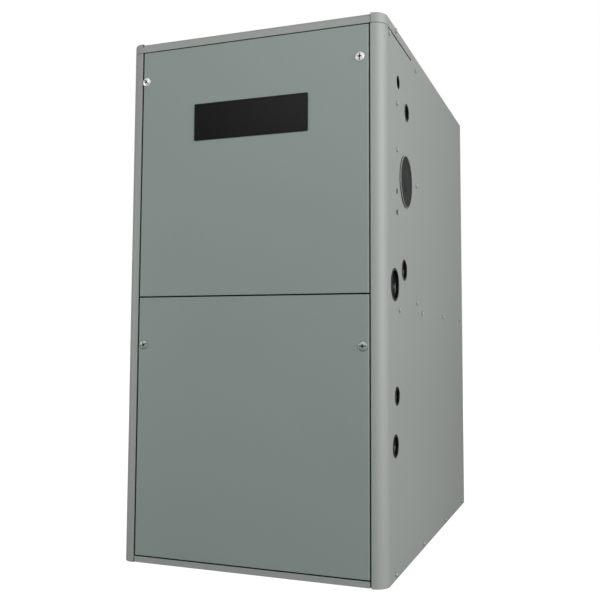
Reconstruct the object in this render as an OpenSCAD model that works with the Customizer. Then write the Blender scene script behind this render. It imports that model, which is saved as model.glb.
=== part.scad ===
// Upflow forced air gas furnace in a two-door sheet steel cabinet.
// X runs across the width, Y from the doors (negative) to the back, Z up from the floor.
// The origin lies on the floor, under the middle of the cabinet.

/* [Cabinet] */
// Overall width of the cabinet
cab_w = 444.5; // [440:0.5:640]
// Overall depth of the cabinet
cab_d = 711.2; // [680:0.1:900]
// Overall height of the cabinet
cab_h = 863.6; // [840:0.1:1100]
// Thickness of the sheet steel
sheet = 1; // [0.8:0.1:1.3]
// Plan radius of the front corners
corner_r = 21; // [16:0.5:21.5]
// Width of the front posts
post_w = 22.4; // [22.2:0.1:32]
// How far the posts turn back beside the doors
post_return = 30; // [27:1:31]
// Turned-in flange round the supply opening
duct_flange = 19; // [12:1:25]
// Step from the cap down to the tops of the sides
cap_step = 1.5; // [1:0.1:2]

/* [Top cap] */
// Depth of the cap behind the front face
cap_len = 188; // [170:1:190]
// Height of the cap's flange
cap_flange = 15.9; // [15:0.1:24]
// Roundness of the cap's top edge
cap_edge_r = 1.8; // [1.5:0.1:6]
// Roundness of its front edge between the two seams
cap_front_r = 9; // [7:0.5:12]
// Gap between the cap and the posts
cap_gap = 0.8; // [0.5:0.1:1.5]
// Height of the side slit under the cap
slit_h = 3; // [1.5:0.1:3.5]
// Where the side slit starts behind the front face
slit_start = 23.6; // [16:0.1:25]
// Width of the two folded seams in the front flange
seam_w = 0.7; // [0.4:0.1:1]

/* [Doors] */
// Gap beside each door
door_gap = 2.4; // [1.5:0.1:4]
// Gap between the doors
split_gap = 2.4; // [1.5:0.1:4]
// Height of the line between the doors
split_z = 431; // [430:1:470]
// Gap above the upper door
door_top_gap = 1.7; // [1:0.1:3]
// Depth of the door pans
door_depth = 20; // [16:1:22]
// Edge radius of the door pans
door_edge_r = 2.5; // [1.5:0.1:4]
// Height of the rail under the lower door
kick_h = 9.6; // [7:0.1:11]
// Gap above that rail
kick_gap = 2.6; // [2:0.1:4]
// Thickness of the door insulation
door_pad = 10; // [6:1:14]
// Width of the bare black badge
badge_w = 198.3; // [120:0.1:260]
// Height of the bare black badge
badge_h = 61.2; // [40:0.1:80]
// Thickness of the badge
badge_t = 1.2; // [0.8:0.1:2]
// Badge centre below the top of the cabinet
badge_drop = 145.9; // [100:0.1:200]

/* [Door screws] */
// Distance of the door screws from the door edge
door_screw_inset = 10.2; // [7:0.1:12]
// Upper door screws below the top of the cabinet
upper_screw_drop = 67.6; // [60:0.1:120]
// How far the upper pair of door screws sits to the left
upper_screw_shift = 3.7; // [0:0.1:4]
// Lower door screws below the line between the doors
lower_screw_drop = 78.6; // [60:0.1:120]
// Head radius of a door screw
door_screw_head_r = 8; // [6:0.1:9]
// Head height of a door screw
door_screw_head_h = 2.6; // [2.3:0.1:4]
// Shank radius of a door screw
door_screw_r = 2.4; // [2:0.1:3]
// Shank length of a door screw
door_screw_len = 30; // [28:1:34]
// Play round a door screw's shank
door_screw_play = 0.1; // [0.05:0.01:0.2]

/* [Sheet metal screws] */
// Shank radius
screw_r = 2.1; // [1.8:0.1:2.5]
// Radius of the washer face
washer_r = 4.4; // [3.8:0.1:5.5]
// Width across the flats of the head
hex_af = 6.35; // [5:0.01:7]
// Height of the hexagon above its washer face
hex_h = 2; // [1.5:0.1:3]
// Shank length
screw_len = 8; // [6:0.5:12]
// Play round the shank
screw_play = 0.15; // [0.1:0.01:0.3]

/* [Side openings] */
// Radius of the open service hole near the top
service_r = 11; // [8:0.5:14]
// Radius of the gas pipe hole
gas_hole_r = 13.6; // [12:0.1:15]
// Radius of the side vent hole
vent_hole_r = 41.5; // [36:0.5:45]
// How far the ring round that hole stands proud
vent_ring_h = 2.5; // [2:0.1:4]
// Radius of the two small open holes
small_hole_r = 5; // [3:0.1:6]
// Radius of the condensate hole above the line between the doors
drain_hole_r = 24.6; // [20:0.1:26]
// Radius of the tube hole behind the condensate hole
tube_hole_r = 16.1; // [13:0.1:18]
// Radius of the low-voltage hole
wire_hole_r = 13.4; // [10:0.1:16]
// Radius of the line-voltage hole
power_hole_r = 16.6; // [12:0.1:20]
// How far the lip of a hole plug reaches past its hole
plug_lip = 1.4; // [1:0.1:2]
// How far the rim of a hole plug stands proud
plug_rim = 0.9; // [0.5:0.1:1.2]
// Depth of a hole plug's dish
plug_dish = 6; // [3:0.5:8]

/* [Frame inside] */
// Height of the blower deck's upper face
deck_z = 418.4; // [400:0.1:424]
// Vestibule panel behind the front face
vest_set = 230; // [222:1:236]
// Width of the folded flanges inside
flange_w = 18; // [14:0.5:20]
// Height of the bottom pan
pan_h = 14; // [9:0.5:16]
// Thickness of the liner insulation
liner_t = 10; // [6:1:12]
// Play between inside sheets and the cabinet sides
fit_gap = 0.15; // [0.1:0.01:0.3]

/* [Gas train and burners] */
// Burner line below the top of the cabinet
gas_drop = 120.2; // [115:0.1:130]
// Distance between burners
burner_pitch = 58; // [54:1:60]
// Radius of a burner's mouth
burner_r = 17; // [14:0.5:18]
// Length of a burner
burner_len = 78; // [70:1:80]
// Radius of the manifold pipe
manifold_r = 10.7; // [9:0.1:12]
// Radius of the valve's threaded inlet
inlet_r = 9.9; // [8:0.1:11]
// Depth of the valve's threaded inlet
inlet_len = 16; // [12:1:20]

/* [Heat exchanger] */
// Radius of a heat exchanger tube
hx_r = 19; // [15:0.5:20]
// Wall of a heat exchanger tube
hx_wall = 1.2; // [1:0.1:2]
// Height of the coil above the deck
coil_h = 96; // [80:1:100]
// Depth of the coil from front to back
coil_d = 300; // [240:1:320]
// Half the width of the coil
coil_hw = 150; // [130:1:170]
// Radius of a coil tube
coil_tube_r = 7; // [5:0.5:9]

/* [Inducer and vent] */
// Distance of the vent from the right side
vent_inset = 62; // [58:1:66]
// Vent line behind the front face
vent_set = 139; // [134:1:142]
// Outer radius of the vent pipe
vent_r = 30.15; // [28:0.05:31]
// Wall of the vent pipe
vent_wall = 3.9; // [3:0.1:5]
// Radial play of a pipe in its collar
collar_play = 0.25; // [0.1:0.05:0.4]
// Length of the two collars in the cap
collar_len = 30; // [24:1:36]
// Depth of the condensate collector box
collector_d = 60; // [50:1:62]
// Radius of the inducer's wheel
inducer_wheel_r = 55; // [45:1:58]
// Height of the inducer's axis above the deck
inducer_up = 92; // [90:1:100]

/* [Blower] */
// Radius of the blower wheel
wheel_r = 127; // [110:1:130]
// Width of the blower wheel
wheel_w = 196; // [160:1:200]
// Number of blades on the blower wheel
wheel_blades = 30; // [24:1:40]
// Least gap between the wheel and the scroll
scroll_gap = 13; // [10:1:16]
// How much the scroll opens on its way round
scroll_grow = 48; // [36:1:52]
// Height of the blower's axis above the floor
blower_z = 222; // [215:1:228]
// Blower's axis behind the middle of the cabinet
blower_y = 60; // [40:1:80]
// Radius of the blower motor
motor_r = 65; // [55:1:72]
// Length of the blower motor
motor_len = 112; // [100:1:118]
// Shaft radius of the blower
shaft_r = 6.35; // [5:0.05:8]
// Running play of both shafts
shaft_play = 0.05; // [0.02:0.01:0.09]

/* [Hidden] */
$fn = 48;
hw = cab_w / 2;
front = -cab_d / 2;
back = cab_d / 2;
inner = hw - sheet;                          // inside face of a side
inner_back = back - sheet;                   // inside face of the back
side_top = cab_h - cap_step;
cap_z0 = cab_h - cap_flange;                 // lower edge of the cap's flange
cap_rear = front + cap_len;
post_top = cap_z0 - cap_gap;
door_open = cab_w - 2 * post_w;              // clear width between the posts
door_w = door_open - 2 * door_gap;
upper_z0 = split_z + split_gap / 2;
upper_z1 = cap_z0 - door_top_gap;
lower_z0 = kick_h + kick_gap;
lower_z1 = split_z - split_gap / 2;
upper_screw_z = cab_h - upper_screw_drop;
lower_screw_z = split_z - lower_screw_drop;
screw_x = door_w / 2 - door_screw_inset;
vest_y = front + vest_set;                   // front face of the vestibule panel
gas_z = cab_h - gas_drop;
gas_y = front + 149;                         // gas pipe line
manifold_y = vest_y - burner_len - 46;
burner_x = [for (i = [0:3]) (i - 1.5) * burner_pitch];
box_hw = 1.5 * burner_pitch + burner_r + 8;  // half the width of the burner box
vent_x = hw - vent_inset;
vent_y = front + vent_set;
collector_y = vest_y - collector_d;          // front face of the collector box
inducer_z = deck_z + inducer_up;
flange_z = deck_z - flange_w / 2;            // screws of the deck
under = deck_z - sheet;                      // underside of the deck
vest_screw_y = vest_y - 8;
liner_x = inner - fit_gap;
// Distances of side screws behind the front face, or ahead of the back
deck_screw_fore = [90, 264];
deck_screw_aft = [242, 35.2];
pan_screw_fore = [59, 264];
pan_screw_aft = [238.4, 35.8];
pan_screw_z = 8.9;
vest_screw_z = [deck_z + 8, cab_h - 231.9, side_top - 22.8];
brace_y = front + 78.5;
brace_screw_z = [cab_h - 198.3, cab_h - 123.1];
header_y = front + 34.7;                     // front face of the rail under the cap
header_z0 = cap_z0 - 17;                     // its lower edge
header_screw_y = header_y - 6;
header_screw_z = cap_z0 - 9.3;
cap_screw_y = brace_y - 6;
cap_screw_z = cab_h - 6;
side_spots = concat(
    [for (d = deck_screw_fore) [front + d, flange_z]],
    [for (d = deck_screw_aft) [back - d, flange_z]],
    [for (d = pan_screw_fore) [front + d, pan_screw_z]],
    [for (d = pan_screw_aft) [back - d, pan_screw_z]],
    [for (z = vest_screw_z) [vest_screw_y, z]],
    [for (z = brace_screw_z) [brace_y, z]],
    [[header_screw_y, header_screw_z], [cap_screw_y, cap_screw_z]]);
back_spots = concat(
    [for (x = [-0.7, 0, 0.7]) [x * hw, flange_z]],
    [for (x = [-0.7, 0, 0.7]) [x * hw, pan_screw_z]]);
// Side openings: distance along Y, height, radius
service_spot = [front + 90, cab_h - 85.8];
gas_spot = [gas_y, gas_z];
vent_spot = [vent_y, cab_h - 239.9];
small_spots = [[front + 78.3, cab_h - 266], [front + 78.3, cab_h - 299.9]];
tube_spot = [front + 125.6, deck_z + 57.3];
drain_spot = [front + 60, deck_z + 29.3];
wire_spot = [front + 71.8, 275.1];
power_spot = [front + 60.3, 199.7];

// Heat exchanger
coil_rise = 45;                              // the coil stands this far above the deck
coil_z0 = deck_z + coil_rise;
coil_y0 = vest_y + 14;
coil_fins = 14;
coil_fin_pitch = (coil_d - 10) / (coil_fins - 1);
coil_x = [for (k = [-4:4]) k * (coil_hw - 16) / 4];
coil_tube_z = [coil_z0 + coil_h * 0.27, coil_z0 + coil_h * 0.73];
trans_y0 = coil_y0 + coil_d;                 // front face of the transition box
trans_y1 = trans_y0 + 100;
hx_low_z = coil_z0 + coil_h + hx_r + 12;     // lowest pass of the tubes
hx_pitch = (gas_z - hx_low_z) / 2;
hx_rear = back - 34 - hx_pitch / 2 - hx_r;   // centre of the rear bends
hx_fore = vest_y + 14 + hx_pitch / 2 + hx_r; // centre of the front bends
// Collector and inducer
collector_z1 = inducer_z + 60;
collector_port_x = -coil_hw + 22;
collector_port_z = coil_z0 + 16;
pressure_tap_x = -coil_hw + 40;
pressure_tap_z = collector_z1 - 18;
inducer_eye_r = 24;
duct_w = 2 * (collector_y - vent_y);         // depth of the inducer scroll
inducer_r0 = inducer_wheel_r + 8;
inducer_r1 = inducer_r0 + 28;
inducer_x = vent_x + duct_w / 2 - inducer_r1;
inducer_top = 78;                            // the scroll's outlet above its axis
fan_y0 = collector_y - duct_w + 16;          // back plate of the inducer wheel
fan_motor_y1 = collector_y - duct_w - 12;
fan_motor_y0 = fan_motor_y1 - 44;
fan_shaft_r = 4;
coupling_z0 = inducer_z + inducer_top + 3;
vent_top = cab_h + 2 - collar_len - 3.5;     // upper end of the inner vent pipe
// Burners and gas train
burner_y0 = vest_y - 14 - burner_len;        // where the gas enters the burners
burner_box_z0 = gas_z - 32;
burner_box_z1 = gas_z + 38;
pilot_y = vest_y - 7.2;
rollout_x = [burner_x[1], burner_x[2]];
rollout_y = burner_y0 + 20;
limit_x = 20;
limit_z = gas_z - 84;
press_x = -150;
press_z = gas_z - 96;
valve_x1 = -box_hw - 4;
valve_x0 = valve_x1 - 78;
valve_y0 = manifold_y - 24;
valve_y1 = gas_y + 18;
knob_x = (valve_x0 + valve_x1) / 2 + 8;
// Condensate trap
trap_x0 = -hw + 22.2;
trap_y = drain_spot[0];
drain_stub_r = 10.65;
// Blower
scroll_r0 = wheel_r + scroll_gap;
scroll_r1 = scroll_r0 + scroll_grow;
outlet_hw = wheel_w / 2 + 7;                 // half the width of the blower housing
outlet_w = scroll_r1 - scroll_r0 * cos(70);
outlet_y0 = blower_y - scroll_r1;
outlet_y1 = outlet_y0 + outlet_w;
deck_rise = under - blower_z;
rail_z = under - 8;
inlet_ring_r = wheel_r - 16;
hub_x = -20;
hub_r = 22;
end_ring_t = 4;
blade_r = wheel_r - 17;                      // inner edge of the blades
blade_tilt = 35;
inlet_lip = 7;
motor_x0 = 12;
mount_x = outlet_hw + 9;
// Controls in the blower compartment
striker_x = 150;
striker_z = deck_z - 35;
badge_z = cab_h - badge_drop;
jbox_y0 = front + 50;
jbox_z0 = 306;
panel_y = front + 156;
panel_z0 = deck_z - 184;
panel_x = [-150, 125];                       // left and right edge of the control panel
board_x0 = -142;                             // left edge of the control board
power_x = 66;                                // middle of the transformer and of the capacitor
capacitor_r = 16;
capacitor_z0 = panel_z0 + 10;
capacitor_h = 62;
harness_r = 6;
grommet_r = 10;
grommet_spot = [-104, front + 86];
lead_spot = [-56, front + 86];

cabinet_grey = [0.60, 0.62, 0.61];
door_grey = [0.50, 0.54, 0.53];
zinc = [0.78, 0.79, 0.80];
galvanised = [0.70, 0.72, 0.73];
black_plastic = [0.07, 0.07, 0.08];

// ---------- shared shapes ----------

module block(x, y, z) translate([x[0], y[0], z[0]]) cube([x[1] - x[0], y[1] - y[0], z[1] - z[0]]);

module bar_x(r, x, y, z) translate([x[0], y, z]) rotate([0, 90, 0]) cylinder(r = r, h = x[1] - x[0]);

module bar_y(r, x, y, z) translate([x, y[0], z]) rotate([-90, 0, 0]) cylinder(r = r, h = y[1] - y[0]);

module bar_z(r, x, y, z) translate([x, y, z[0]]) cylinder(r = r, h = z[1] - z[0]);

module both_sides() {
    children();
    mirror([1, 0, 0]) children();
}

// Plan of the cabinet: two round front corners and a square back, centred
module plan_outline(w, d, r) {
    translate([-w / 2 + r, -d / 2]) square([w - 2 * r, d]);
    translate([-w / 2, -d / 2 + r]) square([w, d - r]);
    for (s = [-1, 1]) translate([s * (w / 2 - r), -d / 2 + r]) circle(r);
}

// Places its children on the outside of a side, pointing out; s is 1 on the right
module on_side(s, spot, x = hw) translate([s * x, spot[0], spot[1]]) rotate([0, s * 90, 0]) children();

// Hexagon washer-head screw, head up, its seat at the origin
module hex_screw() {
    cylinder(r = washer_r, h = 0.8);
    translate([0, 0, 0.7]) cylinder(d = hex_af / cos(30), h = hex_h + 0.1, $fn = 6);
    translate([0, 0, -screw_len]) cylinder(r = screw_r, h = screw_len + 0.1);
}

// Clearance holes for every side screw, cut through both sides
module side_screw_holes() {
    for (p = side_spots) bar_x(screw_r + screw_play, [-hw - 1, -hw + 12], p[0], p[1]);
    for (p = side_spots) bar_x(screw_r + screw_play, [hw - 12, hw + 1], p[0], p[1]);
}

module back_screw_holes() {
    for (p = back_spots) bar_y(screw_r + screw_play, p[0], [back - 12, back + 1], p[1]);
}

// A pipe or wire along a smooth curve through hand-placed points
function unit(v) = v / norm(v);
function curve(a, b, c, d, t) =
    0.5 * (2 * b + (c - a) * t + (2 * a - 5 * b + 4 * c - d) * t * t + (3 * b - a - 3 * c + d) * t * t * t);
function smooth(p, n) = concat(
    [for (i = [0:len(p) - 2]) for (k = [0:n - 1])
        curve(p[max(i - 1, 0)], p[i], p[i + 1], p[min(i + 2, len(p) - 1)], k / n)],
    [p[len(p) - 1]]);

module run_along(points, r, sides = 8, steps = 5) {
    path = smooth(points, steps);
    n = len(path);
    lean = [0.31, 0.62, 0.72];
    rings = [for (i = [0:n - 1])
        let (t = i == 0 ? unit(points[1] - points[0])
                : i == n - 1 ? unit(points[len(points) - 1] - points[len(points) - 2])
                : unit(path[i + 1] - path[i - 1]),
            a = unit(cross(t, lean)), b = cross(t, a))
        for (k = [0:sides - 1]) path[i] + r * (cos(360 * k / sides) * a + sin(360 * k / sides) * b)];
    skin = [for (i = [0:n - 2]) for (k = [0:sides - 1])
        let (m = (k + 1) % sides, p = i * sides, q = p + sides)
        each [[p + k, q + k, q + m], [p + k, q + m, p + m]]];
    near_end = [for (k = [0:sides - 1]) k];
    far_end = [for (k = [0:sides - 1]) n * sides - 1 - k];
    polyhedron(points = rings, faces = concat([near_end, far_end], skin));
}

// ---------- cabinet ----------

module side_shell() {
    linear_extrude(side_top) intersection() {
        difference() {
            plan_outline(cab_w, cab_d, corner_r);
            plan_outline(cab_w - 2 * sheet, cab_d - 2 * sheet, corner_r - sheet);
        }
        translate([door_open / 2, front - 1]) square([hw, cab_d - sheet + 1]);
    }
    block([door_open / 2, door_open / 2 + sheet], [front, front + post_return], [0, side_top]);
    block([hw - duct_flange, hw - sheet / 2], [vest_y + 3, back - duct_flange],
        [side_top - sheet, side_top]);
}

// Left and right sides, each folded round its front post
module side_panels() color(cabinet_grey) both_sides() difference() {
    side_shell();
    // room for the cap, and the open slit under its side flanges
    block([0, hw + 1], [front - 1, cap_rear + 0.5], [post_top, cab_h]);
    block([inner - 1, hw + 1], [front + slit_start, cap_rear + 0.5], [cap_z0 - slit_h, cab_h]);
    bar_x(vent_hole_r, [inner - 6, hw + 1], vent_spot[0], vent_spot[1]);
    bar_x(service_r, [inner - 1, hw + 1], service_spot[0], service_spot[1]);
    bar_x(gas_hole_r, [inner - 1, hw + 1], gas_spot[0], gas_spot[1]);
    bar_x(tube_hole_r, [inner - 1, hw + 1], tube_spot[0], tube_spot[1]);
    bar_x(drain_hole_r, [inner - 1, hw + 1], drain_spot[0], drain_spot[1]);
    bar_x(wire_hole_r, [inner - 1, hw + 1], wire_spot[0], wire_spot[1]);
    bar_x(power_hole_r, [inner - 1, hw + 1], power_spot[0], power_spot[1]);
    for (p = small_spots) bar_x(small_hole_r, [inner - 1, hw + 1], p[0], p[1]);
    side_screw_holes();
}

module back_panel() color(cabinet_grey) difference() {
    union() {
        block([-hw, hw], [inner_back, back], [0, side_top]);
        block([-inner, inner], [back - duct_flange, back - sheet / 2], [side_top - sheet, side_top]);
    }
    back_screw_holes();
}

// Solid of the cap with a rounded top edge, drawn in by t on every face
module cap_solid(t) {
    r = corner_r - t;
    e = cap_edge_r - t;
    f = cap_front_r - t;
    w = cab_w - 2 * t;
    y0 = front + t;
    top = cab_h - t;
    difference() {
        cap_block(r, e, w, y0, top);
        difference() {
            block([-door_open / 2, door_open / 2], [y0 - 1, y0 + f], [top - f, top + 1]);
            bar_x(f, [-hw, hw], y0 + f, top - f);
        }
    }
}

module cap_block(r, e, w, y0, top) {
    translate([0, (y0 + cap_rear) / 2, cap_z0]) linear_extrude(top - e - cap_z0)
        plan_outline(w, cap_rear - y0, r);
    block([-w / 2 + r, w / 2 - r], [y0 + e, cap_rear], [cap_z0, top]);
    block([-w / 2 + e, w / 2 - e], [y0 + r, cap_rear], [cap_z0, top]);
    bar_x(e, [-w / 2 + r, w / 2 - r], y0 + e, top - e);
    for (s = [-1, 1]) {
        bar_y(e, s * (w / 2 - e), [y0 + r, cap_rear], top - e);
        translate([s * (w / 2 - r), y0 + r, cap_z0]) rotate_extrude() {
            square([r, top - e - cap_z0]);
            square([r - e, top - cap_z0]);
            translate([r - e, top - e - cap_z0]) intersection() {
                circle(e);
                square(e);
            }
        }
    }
}

module top_cap() color(cabinet_grey) difference() {
    cap_solid(0);
    cap_solid(sheet);
    block([-inner, inner], [front + corner_r, cap_rear + 1], [cap_z0 - 1, cap_z0 + 0.5]);
    block([-hw + corner_r, hw - corner_r], [front + sheet, cap_rear + 1], [cap_z0 - 1, cap_z0 + 0.5]);
    // folded seams beside the doors
    both_sides() block([door_open / 2, door_open / 2 + seam_w], [front - 1, front + sheet + 1],
        [cap_z0 - 1, cab_h - cap_edge_r]);
    for (s = [-1, 1]) bar_z(vent_r + collar_play + 5, s * vent_x, vent_y, [cab_h - sheet - 1, cab_h + 1]);
    side_screw_holes();
}

module header_rail() difference() {
    union() {
        block([-liner_x, liner_x], [header_y, header_y + sheet],
            [header_z0, cab_h - cap_edge_r - sheet]);
        block([-door_open / 2, door_open / 2], [header_y, header_y + sheet],
            [header_z0, cab_h - sheet]);
        block([-door_open / 2 - 3, door_open / 2 + 3], [header_y, header_y + flange_w],
            [cab_h - 2 * sheet, cab_h - sheet]);
        both_sides() block([liner_x - sheet, liner_x], [header_y - 9, header_y + sheet / 2],
            [header_z0, cap_z0 - slit_h]);
    }
    side_screw_holes();
}

module vestibule_panel() color(galvanised) difference() {
    union() {
        block([-liner_x, liner_x], [vest_y, vest_y + sheet], [deck_z, cab_h - sheet - 0.2]);
        both_sides() block([liner_x - sheet, liner_x], [vest_y - 16, vest_y + sheet / 2],
            [deck_z, cap_z0 - 3]);
        block([-liner_x, liner_x], [cap_rear + 1, vest_y + sheet],
            [cab_h - 2 * sheet - 0.2, cab_h - sheet - 0.2]);
        block([-inner + cap_edge_r, inner - cap_edge_r], [cap_rear - 8, cap_rear + 2],
            [cab_h - 2 * sheet - 0.2, cab_h - sheet - 0.2]);
    }
    for (x = burner_x) bar_y(hx_r + 0.3, x, [vest_y - 1, vest_y + 2], gas_z);
    // way through for the condensate and flue gas of the coil
    block([-coil_hw + 10, coil_hw - 10], [vest_y - 1, vest_y + 2], [deck_z + 14, deck_z + coil_h - 6]);
    side_screw_holes();
}

module blower_deck() color(galvanised) difference() {
    union() {
        // tab that carries the door switch
        block([striker_x - 14, striker_x + 14], [front + 32, front + 32 + sheet],
            [striker_z - 12, deck_z - 2]);
        block([-liner_x, liner_x], [front + 32, inner_back - fit_gap], [under, deck_z]);
        both_sides() block([liner_x - sheet, liner_x], [front + 32, inner_back - fit_gap],
            [deck_z - flange_w, deck_z]);
        for (y = [front + 32, inner_back - fit_gap - sheet])
            block([-liner_x, liner_x], [y, y + sheet], [deck_z - flange_w, deck_z]);
    }
    block([-outlet_hw, outlet_hw], [outlet_y0, outlet_y1], [under - 1, deck_z + 1]);
    bar_y(4.6, striker_x, [front + 31, front + 34], striker_z);
    for (p = [grommet_spot, lead_spot]) bar_z(grommet_r, p[0], p[1], [under - 1, deck_z + 1]);
    side_screw_holes();
    back_screw_holes();
}

module bottom_pan() color(galvanised) difference() {
    union() {
        block([-liner_x, liner_x], [front + 37, inner_back - fit_gap], [pan_h - sheet, pan_h]);
        both_sides() block([liner_x - sheet, liner_x], [front + 37, inner_back - fit_gap], [0, pan_h]);
        for (y = [front + 37, inner_back - fit_gap - sheet])
            block([-liner_x, liner_x], [y, y + sheet], [0, pan_h]);
    }
    side_screw_holes();
    back_screw_holes();
}

module front_rails() color(cabinet_grey) {
    header_rail();
    kick_rail();
}

module kick_rail() {
    block([-door_w / 2, door_w / 2], [front + 0.3, front + 0.3 + sheet], [0.8, kick_h]);
    // closes the two gaps beside the rail from behind
    block([-door_open / 2 + fit_gap, door_open / 2 - fit_gap], [front + 6, front + 6 + sheet], [0.2, kick_h]);
    block([-door_w / 2, door_w / 2], [front + 0.3, front + 37], [kick_h - sheet, kick_h]);
}

module frame_brackets() color(galvanised) {
    side_braces();
    door_screw_brackets();
    coil_supports();
    blower_rails();
}

module side_braces() both_sides() difference() {
    union() {
        block([liner_x - sheet, liner_x], [brace_y - 12, brace_y + 12],
            [brace_screw_z[0] - 14, brace_screw_z[1] + 14]);
        block([liner_x - 14, liner_x], [brace_y + 12 - sheet, brace_y + 12],
            [brace_screw_z[0] - 14, brace_screw_z[1] + 14]);
    }
    side_screw_holes();
}

module insulation_liners() color("silver") {
    both_sides() block([inner - liner_t, inner - 0.1], [vest_y + 3, inner_back - liner_t - 1],
        [deck_z, side_top - sheet - 1]);
    block([-inner + 0.3, inner - 0.3], [inner_back - liner_t, inner_back - 0.1],
        [deck_z, side_top - sheet - 1]);
}

// ---------- doors ----------

module door_pan(z0, z1, screw_z, shift) color(door_grey) difference() {
    translate([0, front + cab_d / 2, z0]) linear_extrude(z1 - z0) intersection() {
        plan_outline(door_w, cab_d, door_edge_r);
        translate([-hw, -cab_d / 2]) square([cab_w, door_depth]);
    }
    translate([0, front + sheet + cab_d / 2, z0 + sheet]) linear_extrude(z1 - z0 - 2 * sheet)
        plan_outline(door_w - 2 * sheet, cab_d, door_edge_r - sheet);
    for (s = [-1, 1])
        bar_y(door_screw_r + door_screw_play, s * screw_x - shift, [front - 1, front + 3], screw_z);
}

module upper_door() door_pan(upper_z0, upper_z1, upper_screw_z, upper_screw_shift);

module lower_door() {
    door_pan(lower_z0, lower_z1, lower_screw_z, 0);
    door_striker();
}

module upper_door_insulation() color("silver")
    block([-screw_x + 16, screw_x - 16], [front + sheet, front + sheet + door_pad],
        [upper_z0 + 14, upper_z1 - 24]);

module lower_door_insulation() color("silver")
    block([-screw_x + 16, screw_x - 16], [front + sheet, front + sheet + door_pad],
        [lower_z0 + 14, striker_z - 20]);

// Bracket that presses the door switch while the door is on
module door_striker() color(door_grey) {
    block([striker_x - 12, striker_x + 12], [front + sheet / 2, front + 2 * sheet],
        [striker_z - 14, striker_z + 14]);
    for (s = [-1, 1]) block([striker_x - 12, striker_x + 12], [front + sheet, front + 28],
        [striker_z + s * 10 - sheet / 2, striker_z + s * 10 + sheet / 2]);
    block([striker_x - 12, striker_x + 12], [front + 28 - sheet, front + 28],
        [striker_z - 10.5, striker_z + 10.5]);
}

module badge_plate() color("black") difference() {
    translate([0, front, badge_z]) rotate([90, 0, 0])
        linear_extrude(badge_t) badge_outline(badge_w, badge_h, 1.5);
    translate([0, front - badge_t + 0.25, badge_z]) rotate([90, 0, 0]) linear_extrude(1)
        badge_outline(badge_w - 6, badge_h - 6, 1);
}

module badge_outline(w, h, r) {
    square([w - 2 * r, h], center = true);
    square([w, h - 2 * r], center = true);
    for (x = [-1, 1]) for (z = [-1, 1]) translate([x * (w / 2 - r), z * (h / 2 - r)]) circle(r);
}

// Truss-head screw with a slot and a cross recess, pointing out of the door
module door_screw(x, z, turn) color(zinc) translate([x, front, z]) rotate([90, 0, 0]) difference() {
    union() {
        intersection() {
            dome_r = (door_screw_head_r * door_screw_head_r +
                door_screw_head_h * door_screw_head_h) / (2 * door_screw_head_h);
            translate([0, 0, door_screw_head_h - dome_r]) sphere(dome_r);
            cylinder(r = door_screw_head_r - 0.15, h = door_screw_head_h + 1);
        }
        translate([0, 0, -door_screw_len]) cylinder(r = door_screw_r, h = door_screw_len + 0.5);
    }
    rotate(turn) {
        translate([-door_screw_head_r, -0.8, door_screw_head_h - 1.5])
            cube([2 * door_screw_head_r, 1.6, 3]);
        translate([-0.8, -3.2, door_screw_head_h - 2]) cube([1.6, 6.4, 3]);
    }
}

module upper_screw_left() door_screw(-screw_x - upper_screw_shift, upper_screw_z, -45);

module upper_screw_right() door_screw(screw_x - upper_screw_shift, upper_screw_z, 90);

module lower_screw_left() door_screw(-screw_x, lower_screw_z, 20);

module lower_screw_right() door_screw(screw_x, lower_screw_z, 0);

// Brackets on the post returns that take the door screws
module door_screw_brackets() {
    for (s = [-1, 1]) {
        door_screw_bracket(s, s * screw_x - upper_screw_shift, upper_screw_z);
        door_screw_bracket(s, s * screw_x, lower_screw_z);
    }
}

module door_screw_bracket(s, x, z) difference() {
    mirror([s < 0 ? 1 : 0, 0, 0]) {
        block([screw_x - 7 - upper_screw_shift, door_open / 2],
            [front + 24, front + 25.5], [z - 12, z + 12]);
        block([door_open / 2 - sheet, door_open / 2], [front + 21, front + 29], [z - 12, z + 12]);
    }
    bar_y(door_screw_r + door_screw_play, x, [front + 20, front + 30], z);
}

// ---------- screws and plugs on the outside ----------

module cabinet_screws() color(zinc) {
    for (s = [-1, 1]) for (p = side_spots) on_side(s, p) hex_screw();
    for (p = back_spots) translate([p[0], back, p[1]]) rotate([-90, 0, 0]) hex_screw();
}

// Dished snap-in plug, its rim on the sheet, pointing out
module hole_plug(r) rotate_extrude() {
    translate([r - 0.6, 0]) square([0.6 + plug_lip, plug_rim]);
    translate([r - 2.2, -plug_dish]) square([2.05, plug_dish + plug_rim]);
    translate([0, -plug_dish]) square([r - 1, 1.4]);
}

module hole_plugs() color(black_plastic) {
    both_sides() {
        on_side(1, tube_spot) hole_plug(tube_hole_r);
        on_side(1, wire_spot) hole_plug(wire_hole_r);
        on_side(1, power_spot) hole_plug(power_hole_r);
    }
    // the gas pipe and the drain leave on the left, so these two are closed on the right only
    on_side(1, gas_spot) hole_plug(gas_hole_r);
    on_side(1, drain_spot) hole_plug(drain_hole_r);
}

// A proud steel ring in each side vent hole, and the dark cover that closes it
module vent_hole_caps() both_sides() on_side(1, vent_spot) {
    color(cabinet_grey) rotate_extrude() {
        translate([vent_hole_r + 0.5, 0]) square([1.5, vent_ring_h]);
        translate([vent_hole_r - 1.5, 0]) square([3.5, 1]);
        translate([vent_hole_r - 1.5, -6]) square([1.35, 7]);
    }
    color([0.24, 0.28, 0.26]) rotate_extrude() {
        translate([0, vent_ring_h - 1.1]) square([vent_hole_r + 0.3, 0.8]);
        translate([vent_hole_r - 1, 1.05]) square([1.3, vent_ring_h - 1.5]);
    }
}

// ---------- heat exchanger, behind the vestibule panel ----------

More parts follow.
